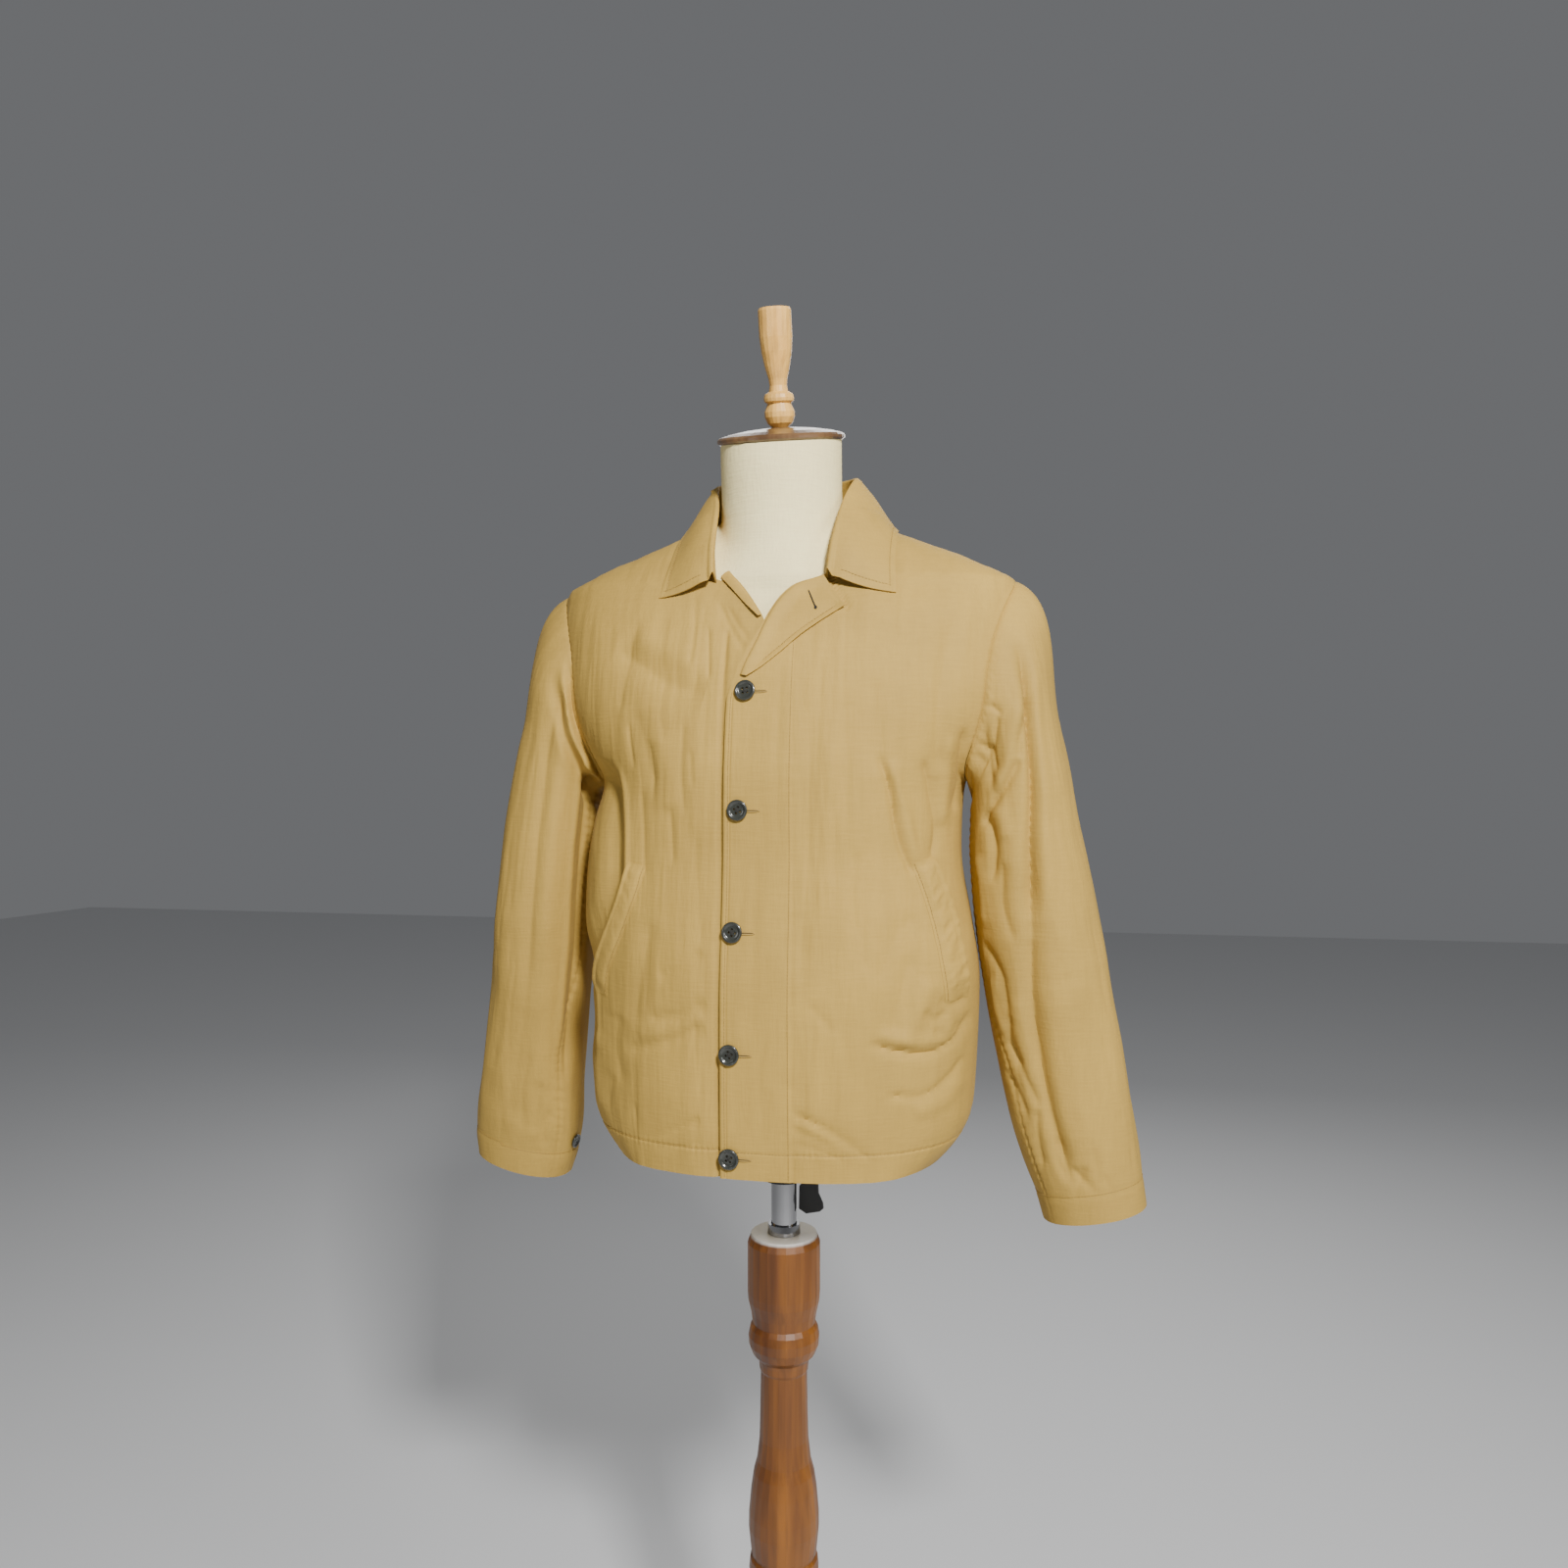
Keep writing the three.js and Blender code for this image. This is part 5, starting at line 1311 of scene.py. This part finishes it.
def thread_cross(name, radius, thick):
    """Sewing thread across a button's four holes."""
    verts, faces = [], []
    reach = radius * 0.2
    for a, b in (((-1, -1), (1, 1)), ((-1, 1), (1, -1))):
        for shift in (-0.28, 0.28):
            pa = Vector((a[0] * reach, a[1] * reach, thick * 0.5))
            pb = Vector((b[0] * reach, b[1] * reach, thick * 0.5))
            along_line = (pb - pa).normalized()
            sidev = Vector((-along_line.y, along_line.x, 0))
            rings = []
            for k in range(9):
                t = k / 8
                c = pa.lerp(pb, t) + sidev * shift
                c.z += 0.45 * math.sin(math.pi * t) + (0.0 if 0 < k < 8 else -0.5)
                ring = []
                for m in range(6):
                    q = 2 * math.pi * m / 6
                    ring.append(len(verts))
                    verts.append(tuple(c + sidev * 0.3 * math.cos(q) + Vector((0, 0, 0.3 * math.sin(q)))))
                rings.append(ring)
            for r0, r1 in zip(rings, rings[1:]):
                for m in range(6):
                    faces.append((r0[m], r0[(m + 1) % 6], r1[(m + 1) % 6], r1[m]))
            faces.append(tuple(rings[0]))
            faces.append(tuple(rings[-1]))
    return obj_from(name, verts, faces, material("hole_thread"))


def place_on(obj, at, normal, spin=0.0):
    """Turns a piece made on the plane z = 0 so that it faces along a normal, in its mesh."""
    turn = Vector(normal).to_track_quat("Z", "Y").to_matrix().to_4x4()
    move = Matrix.Translation(Vector([float(v) * MM for v in at]))
    obj.data.transform(move @ turn @ Matrix.Rotation(spin, 4, "Z"))


def buttonhole(x0, x1, z, off=0.3):
    """A worked buttonhole lying on the left front: a ring of thread round a slit."""
    count = 56
    t = np.linspace(0, 2 * np.pi, count, endpoint=False)
    cx, half = (x0 + x1) / 2, abs(x1 - x0) / 2
    rings = []
    for radial, up in ((0.0, 0.0), (0.35, 0.55), (1.0, 0.6), (1.45, 0.3), (1.5, -0.25)):
        lx = spow(np.cos(t), 0.5) * (half - 1.6) + np.cos(t) * (0.25 + radial)
        lz = np.sin(t) * (0.25 + radial)
        px, pz = cx + lx, z + lz
        rings.append(on_front(px, pz, front_height(px, pz, 1) + off + up))
    verts = np.concatenate(rings)
    faces = []
    for k in range(len(rings) - 1):
        for i in range(count):
            j = (i + 1) % count
            faces.append((k * count + i, k * count + j, (k + 1) * count + j, (k + 1) * count + i))
    return verts, faces


def surface_path(xs, zs, side, off):
    xs, zs = np.asarray(xs, float), np.asarray(zs, float)
    return rounded_hem(on_front(xs, zs, front_height(xs, zs, side) + off))


def flat_size(grid):
    """Width, length and area of a grid of points, in metres."""
    wide = np.linalg.norm(np.diff(grid, axis=1), axis=-1).sum(1).max() * MM
    long = np.linalg.norm(np.diff(grid, axis=0), axis=-1).sum(0).max() * MM
    a = grid[1:, 1:] - grid[:-1, :-1]
    b = grid[1:, :-1] - grid[:-1, 1:]
    area = 0.5 * np.linalg.norm(np.cross(a, b), axis=-1).sum() * MM * MM
    return wide, long, area


def sheet_of(grid, tube=False):
    if tube:
        grid = np.concatenate([grid, grid[:, :1]], 1)
    wide, long, area = flat_size(grid)
    wide, long = round(wide, 4), round(long, 4)
    area = min(area, wide * long)


class CoachJacketSettings(bpy.types.PropertyGroup):
    cloth_colour: FloatVectorProperty(
        name="Cloth colour",
        description="Colour of the cotton cloth",
        subtype="COLOR",
        size=3,
        default=(0.45, 0.285, 0.062),
        min=0,
        max=1,
    )
    form_colour: FloatVectorProperty(
        name="Form colour",
        description="Colour of the form's cover",
        subtype="COLOR",
        size=3,
        default=(0.95, 0.8, 0.42),
        min=0,
        max=1,
    )
    stitch_pitch: FloatProperty(
        name="Stitch pitch",
        description="Distance from one stitch to the next",
        default=0.0032,
        min=0.001,
        max=0.01,
        unit="LENGTH",
        subtype="DISTANCE",
    )
    button_radius: FloatProperty(
        name="Button radius",
        description="Radius of the front buttons",
        default=0.0098,
        min=0.005,
        max=0.015,
        unit="LENGTH",
        subtype="DISTANCE",
    )
    button_turn: IntProperty(
        name="Button turn",
        description="Degrees by which each front button is turned from the one above",
        default=17,
        min=0,
        max=90,
    )


def settings():
    return bpy.context.scene.coach_jacket


class JACKET_OT_fronts(bpy.types.Operator):
    """Builds the two fronts with the rolled corner and the turned edge"""

    bl_idname = "coach_jacket.fronts"
    bl_label = "Fronts"

    def execute(self, context):
        pitch = settings().stitch_pitch
        for side, edge, name in ((1, LEFT_EDGE, "front_left"), (-1, RIGHT_EDGE, "front_right")):
            grid, n = front_panel(side, edge)
            obj = shell("cloth_" + name, grid, n, WALL, material("cloth"))
            declare(obj, "form", "cotton", name)
            z = np.linspace(HEM_Z + 3, 1396, 150)
            paths = []
            if side > 0:
                paths.append(surface_path(31 + 0 * z, z, 1, STITCH_LIFT))
                low = z[z < 1326]
                beside = along(LEFT_EDGE, "x", low) + 4.5
                paths.append(surface_path(beside, low, 1, STITCH_LIFT))
            x = np.linspace(along(edge, "x", HEM_STITCH_Z) + side * 1, side * 176, 90)
            paths.append(surface_path(x, HEM_STITCH_Z + 0 * x, side, STITCH_LIFT))
            sewn = stitches("stitches_" + name, paths, material("thread"), pitch)
            declare(sewn, "form", "cotton")
            sheet_of(grid)
        for tab, name, puffed in ((LAPEL_LEFT, "lapel_left", 2.0), (LAPEL_RIGHT, "lapel_right", 1.2)):
            grid = lapel_cloth(tab, puffed=puffed)
            n = outward(grid)
            obj = shell("cloth_" + name, grid, n, WALL, material("facing"))
            declare(obj, "form", "cotton_facing", name)
            if name == "lapel_left":
                index = {"i": np.arange(7), **tab}
                at = np.linspace(1.4, 5.9, 60)
                ex, ez, fx, fz = (along(index, k, at, "i") for k in ("edgex", "edgez", "foldx", "foldz"))
                t = 1 - 5 / np.hypot(ex - fx, ez - fz)
                path = on_front(fx + (ex - fx) * t, fz + (ez - fz) * t, LIE + WALL + 0.35)
                sewn = stitches("stitches_" + name, [path], material("thread"), pitch)
                declare(sewn, "form", "cotton_facing")
                sheet_of(grid)
            else:
                sheet_of(grid)
        return {"FINISHED"}


class JACKET_OT_back(bpy.types.Operator):
    """Builds the back"""

    bl_idname = "coach_jacket.back"
    bl_label = "Back"

    def execute(self, context):
        grid, n = back_panel()
        obj = shell("cloth_back", grid, n, WALL, material("cloth"))
        declare(obj, "form", "cotton", "back")
        row = int(np.argmin(np.abs(row_heights() - HEM_STITCH_Z)))
        path = grid[row, 3:-3] + n[row, 3:-3] * STITCH_LIFT
        sewn = stitches("stitches_back", [path], material("thread"), settings().stitch_pitch)
        declare(sewn, "form", "cotton")
        sheet_of(grid)
        return {"FINISHED"}


class JACKET_OT_sleeves(bpy.types.Operator):
    """Builds the two sleeves with their cuffs and cuff buttons"""

    bl_idname = "coach_jacket.sleeves"
    bl_label = "Sleeves"

    def execute(self, context):
        pitch = settings().stitch_pitch
        for side, tab, creases, name in (
            (1, SLEEVE_LEFT, SLEEVE_LEFT_CREASES, "left"),
            (-1, SLEEVE_RIGHT, SLEEVE_RIGHT_CREASES, "right"),
        ):
            grid, n = sleeve_cloth(side, tab, creases)
            obj = shell("cloth_sleeve_" + name, grid, n, WALL, material("cloth"), tube=True)
            declare(obj, "form", "cotton", "sleeve_" + name)
            edge = low_edge_distance(grid)
            picked = np.argmin(np.abs(edge - CUFF_TURN), axis=0)
            cols = np.arange(grid.shape[1])
            ring = grid[picked, cols] + n[picked, cols] * STITCH_LIFT
            ring = np.concatenate([ring, ring[:1]])
            sewn = stitches("stitches_sleeve_" + name, [ring], material("thread"), pitch)
            declare(sewn, "form", "cotton")
            a = math.radians(CUFF_ANGLE[name])
            col = int(round(a / (2 * math.pi) * grid.shape[1]))
            row = int(np.argmin(np.abs(grid[:, col, 2] - tab["z"][CUFF_ROW])))
            shown = "shown_cuff_button_" + name
            button = button_mesh(shown, CUFF_BUTTON_RADIUS, CUFF_BUTTON_THICK, "button")
            place_on(button, grid[row, col] + n[row, col] * 0.3, n[row, col])
            declare(button, "form", "button", "cuff_button_" + name)
            sheet_of(grid, tube=True)
        return {"FINISHED"}


class JACKET_OT_collar(bpy.types.Operator):
    """Builds the collar"""

    bl_idname = "coach_jacket.collar"
    bl_label = "Collar"

    def execute(self, context):
        grid, n = collar_cloth()
        obj = shell("cloth_collar", grid, n, WALL, material("cloth"))
        declare(obj, "form", "cotton", "collar")
        edge = seam_distance(grid)
        picked = np.argmin(np.abs(edge - COLLAR_STITCH), axis=1)
        rows = np.arange(grid.shape[0])[2:-2]
        line = grid[rows, picked[2:-2]] + n[rows, picked[2:-2]] * STITCH_LIFT
        ends = []
        for row in (2, -3):
            keep = slice(24, -3)
            ends.append(grid[row, keep] + n[row, keep] * STITCH_LIFT)
        sewn = stitches("stitches_collar", [line, *ends], material("thread"), settings().stitch_pitch)
        declare(sewn, "form", "cotton")
        sheet_of(grid)
        return {"FINISHED"}


class JACKET_OT_pockets(bpy.types.Operator):
    """Builds the two slanted pocket welts"""

    bl_idname = "coach_jacket.pockets"
    bl_label = "Pocket welts"

    def execute(self, context):
        for side, name in ((1, "left"), (-1, "right")):
            grid = welt_cloth(side)
            n = outward(grid)
            obj = shell("cloth_welt_" + name, grid, n, WALL, material("cloth"))
            declare(obj, "form", "cotton", "pocket_welt_" + name)
            line = grid[2:-2, 2] + n[2:-2, 2] * STITCH_LIFT
            sewn = stitches("stitches_welt_" + name, [line], material("thread"), settings().stitch_pitch)
            declare(sewn, "form", "cotton")
            sheet_of(grid)
        return {"FINISHED"}


class JACKET_OT_buttons(bpy.types.Operator):
    """Builds the front buttons with their thread and the worked buttonholes"""

    bl_idname = "coach_jacket.buttons"
    bl_label = "Buttons"

    def execute(self, context):
        radius = settings().button_radius / MM
        for i, (x, z) in enumerate(zip(BUTTONS["x"], BUTTONS["z"])):
            at = on_front(x, z, front_height(x, z, 1) + 0.5)
            n = outward(at)
            spin = math.radians(settings().button_turn * i + 8)
            button = button_mesh(f"shown_button_{i + 1}", radius, BUTTON_THICK, "button")
            place_on(button, at, n, spin)
            declare(button, "form", "button", f"button_{i + 1}")
            cross = thread_cross(f"thread_{i + 1}", radius, BUTTON_THICK)
            place_on(cross, at, n, spin)
            declare(cross, "form", "button")
        holes = [(x - 3, x + 21, z) for x, z in zip(BUTTONS["x"], BUTTONS["z"])]
        verts, faces = [], []
        slit_shade_v, slit_shade_f = [], []
        for x0, x1, z in holes:
            v, f = buttonhole(x0, x1, z - 0.5)
            faces.extend(tuple(k + sum(map(len, verts)) for k in q) for q in f)
            verts.append(v)
            # A near-black strip along each buttonhole: painted shade inside the slit.
            count = 24
            t = np.linspace(x0 + 2, x1 - 2, count)
            w = 0.3
            top = on_front(t, z - 0.5 + w + 0 * t, front_height(t, z + 0 * t, 1) + 0.35)
            low = on_front(t, z - 0.5 - w + 0 * t, front_height(t, z + 0 * t, 1) + 0.35)
            start = sum(map(len, slit_shade_v))
            slit_shade_v.extend([top, low])
            for k in range(count - 1):
                slit_shade_f.append((start + k, start + k + 1, start + count + k + 1, start + count + k))
        ring = obj_from("buttonholes", np.concatenate(verts), faces, material("thread"))
        declare(ring, "form", "cotton")
        slit = obj_from("buttonhole_slit_shade", np.concatenate(slit_shade_v), slit_shade_f, material("dark"))
        declare(slit, "form", "cotton")
        declare(lapel_slit_shade(), "form", "cotton_facing")
        return {"FINISHED"}


def lapel_slit_shade():
    """The keyhole buttonhole of the rolled corner, as a near-black strip: painted shade inside the opening.
    """
    start, end = np.array([41.0, 1422.0]), np.array([50.5, 1402.5])
    t = np.linspace(0, 1, 30)
    path = start + (end - start) * t[:, None]
    d = (end - start) / np.linalg.norm(end - start)
    side = np.array([-d[1], d[0]])
    half = 0.55 + 1.0 * np.exp(-(((t - 0.93) / 0.07) ** 2))
    half *= np.clip(np.sin(np.pi * np.clip(t, 0.02, 0.98)) * 6, 0.2, 1)
    rows = []
    for s in (-1, 1):
        p = path + side * (half * s)[:, None]
        rows.append(on_front(p[:, 0], p[:, 1], LIE + WALL + 0.75))
    verts = np.concatenate(rows)
    faces = [(k, k + 1, 30 + k + 1, 30 + k) for k in range(29)]
    return obj_from("lapel_buttonhole_shade", verts, faces, material("dark"))


class JACKET_OT_form(bpy.types.Operator):
    """Builds the dress form with its neck"""

    bl_idname = "coach_jacket.form"
    bl_label = "Dress form"

    def execute(self, context):
        turns = 120
        phi = np.linspace(0, 2 * np.pi, turns, endpoint=False)[None, :]
        z = np.concatenate([[893, 894.5, 898], np.arange(904, 1440, 8), np.arange(1440, 1504, 3), [1504]])
        side = np.where(phi > np.pi, -1.0, 1.0)
        left = np.where(phi > np.pi, 2 * np.pi - phi, phi)
        base = body_point(left + 0 * z[:, None], np.repeat(z[:, None], turns, 1))
        inset = 1.4 + along(FORM_EASE, "gap", z) + 5 * fade(899, 893, z)
        p = base - outward(base) * inset[:, None, None]
        p[..., 0] = np.abs(p[..., 0]) * side
        most = 203 - 22 * fade(1340, 1240, z)[:, None]
        over = np.abs(p[..., 0]) - (most - 14)
        flat = np.sign(p[..., 0]) * (most - 14 + 14 * np.tanh(over / 14))
        p[..., 0] = np.where(over > 0, flat, p[..., 0])
        y = -NECK_SHIFT * fade(1440, NECK_PLATE_Z, p[..., 2])
        r = np.hypot(p[..., 0], p[..., 1] - y)
        neck = along(NECK, "r", p[..., 2])
        blend = fade(1400, 1440, p[..., 2])
        power = 9
        grown = (r**power + (neck * blend) ** power) ** (1 / power)
        p[..., 0] *= grown / r
        p[..., 1] = y + (p[..., 1] - y) * grown / r
        zn = np.arange(1507, NECK_PLATE_Z, 4).tolist() + [NECK_PLATE_Z]
        top = p[-1]
        forward = NECK_SHIFT * fade(1440, NECK_PLATE_Z, NECK_TOP_Z)
        angle = np.arctan2(top[:, 0], -(top[:, 1] + forward))
        lean = math.tan(math.radians(15))
        rings = [p]
        for h in zn:
            rad = along(NECK, "r", h)
            up = fade(1510, NECK_PLATE_Z, h)
            dy = -rad * np.cos(angle)
            yy = -NECK_SHIFT * fade(1440, NECK_PLATE_Z, h) + dy
            rings.append(np.stack([rad * np.sin(angle), yy, h + dy * lean * up], -1)[None])
        grid = np.concatenate(rings)
        rows = grid.shape[0]
        verts = np.concatenate([grid.reshape(-1, 3), grid[0].mean(0)[None], grid[-1].mean(0)[None]])
        faces = []
        for i in range(turns):
            j = (i + 1) % turns
            for k in range(rows - 1):
                a, b = k * turns, (k + 1) * turns
                faces.append((a + i, a + j, b + j, b + i))
            faces.append((i, rows * turns, j))
            faces.append(((rows - 1) * turns + i, (rows - 1) * turns + j, rows * turns + 1))
        obj = obj_from("shown_form", verts, faces, material("linen"))
        sharpen(obj, 60)
        declare(obj, "form", "form_linen", "dress_form")
        return {"FINISHED"}


class JACKET_OT_stand(bpy.types.Operator):
    """Gives the turned stand, pole, clamp, neck cap and finial their finish"""

    bl_idname = "coach_jacket.stand"
    bl_label = "Stand and trim"

    def execute(self, context):
        looks = {
            "base": "column",
            "column": "column",
            "pole": "chrome",
            "pole_flange": "chrome",
            "clamp_collar": "black",
            "clamp_lever": "black",
            "neck_cap": "cap",
            "finial": "honey",
        }
        for name, key in looks.items():
            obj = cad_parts[name]
            obj.data.materials.clear()
            obj.data.materials.append(material(key))
        return {"FINISHED"}


class JACKET_OT_stage(bpy.types.Operator):
    """Sets the floor, the lights and the camera"""

    bl_idname = "coach_jacket.stage"
    bl_label = "Stage"

    def execute(self, context):
        scene = context.scene
        mesh = bpy.data.meshes.new("floor")
        w = 9.0
        mesh.from_pydata([(-w, -w, 0), (w, -w, 0), (w, w, 0), (-w, w, 0)], [], [(0, 1, 2, 3)])
        floor = bpy.data.objects.new("floor", mesh)
        scene.collection.objects.link(floor)
        mat, _, _, bsdf = new_material("floor")
        bsdf.inputs["Base Color"].default_value = (0.74, 0.74, 0.74, 1)
        bsdf.inputs["Roughness"].default_value = 0.9
        mesh.materials.append(mat)
        world = bpy.data.worlds.new("studio") if scene.world is None else scene.world
        scene.world = world
        world.use_nodes = True
        back = next(n for n in world.node_tree.nodes if n.type == "BACKGROUND")
        back.inputs[0].default_value = (0.88, 0.9, 0.94, 1)
        back.inputs[1].default_value = 0.17
        for name, place, size, power in (
            ("key", (1.0, -1.95, 2.55), 0.35, 118),
            ("left", (-1.5, -2.2, 1.5), 0.6, 5),
            ("right", (2.1, -1.3, 1.8), 0.6, 14),
            ("behind", (0.0, 2.4, 2.6), 1.6, 26),
        ):
            light = bpy.data.lights.new(name, "AREA")
            light.size = size
            light.energy = power
            lamp = bpy.data.objects.new(name, light)
            scene.collection.objects.link(lamp)
            lamp.location = place
            lamp.rotation_mode = "QUATERNION"
            aim = Vector((0, 0, 1.2)) - Vector(place)
            lamp.rotation_quaternion = aim.to_track_quat("-Z", "Y")
        cam = bpy.data.cameras.new("camera")
        camera = bpy.data.objects.new("camera", cam)
        scene.collection.objects.link(camera)
        cam.sensor_width = CAMERA_SENSOR
        cam.lens = CAMERA_LENS
        turn = math.radians(CAMERA_TURN)
        sideways, ahead = CAMERA_AWAY * math.sin(turn), CAMERA_AWAY * math.cos(turn)
        camera.location = (sideways, -ahead, CAMERA_HIGH)
        camera.rotation_euler = (math.radians(90), 0, turn)
        cam.clip_start, cam.clip_end = 0.05, 50
        scene.camera = camera
        return {"FINISHED"}


class JACKET_PT_panel(bpy.types.Panel):
    """Lists the pieces of the jacket and its stand"""

    bl_label = "Coach jacket"
    bl_idname = "JACKET_PT_panel"
    bl_space_type = "VIEW_3D"
    bl_region_type = "UI"
    bl_category = "Coach jacket"

    def draw(self, context):
        layout = self.layout
        values = context.scene.coach_jacket
        for name in ("cloth_colour", "form_colour", "stitch_pitch", "button_radius", "button_turn"):
            layout.prop(values, name)
        for operator in OPERATORS:
            layout.operator(operator.bl_idname)


OPERATORS = (
    JACKET_OT_form,
    JACKET_OT_stand,
    JACKET_OT_fronts,
    JACKET_OT_back,
    JACKET_OT_sleeves,
    JACKET_OT_collar,
    JACKET_OT_pockets,
    JACKET_OT_buttons,
    JACKET_OT_stage,
)


def register():
    for item in (CoachJacketSettings, *OPERATORS, JACKET_PT_panel):
        bpy.utils.register_class(item)
    bpy.types.Scene.coach_jacket = PointerProperty(type=CoachJacketSettings)


def unregister():
    del bpy.types.Scene.coach_jacket
    for item in reversed((CoachJacketSettings, *OPERATORS, JACKET_PT_panel)):
        bpy.utils.unregister_class(item)


def main():
    register()
    for operator in OPERATORS:
        group, name = operator.bl_idname.split(".")
        getattr(getattr(bpy.ops, group), name)()


if __name__ == "__main__":
    main()
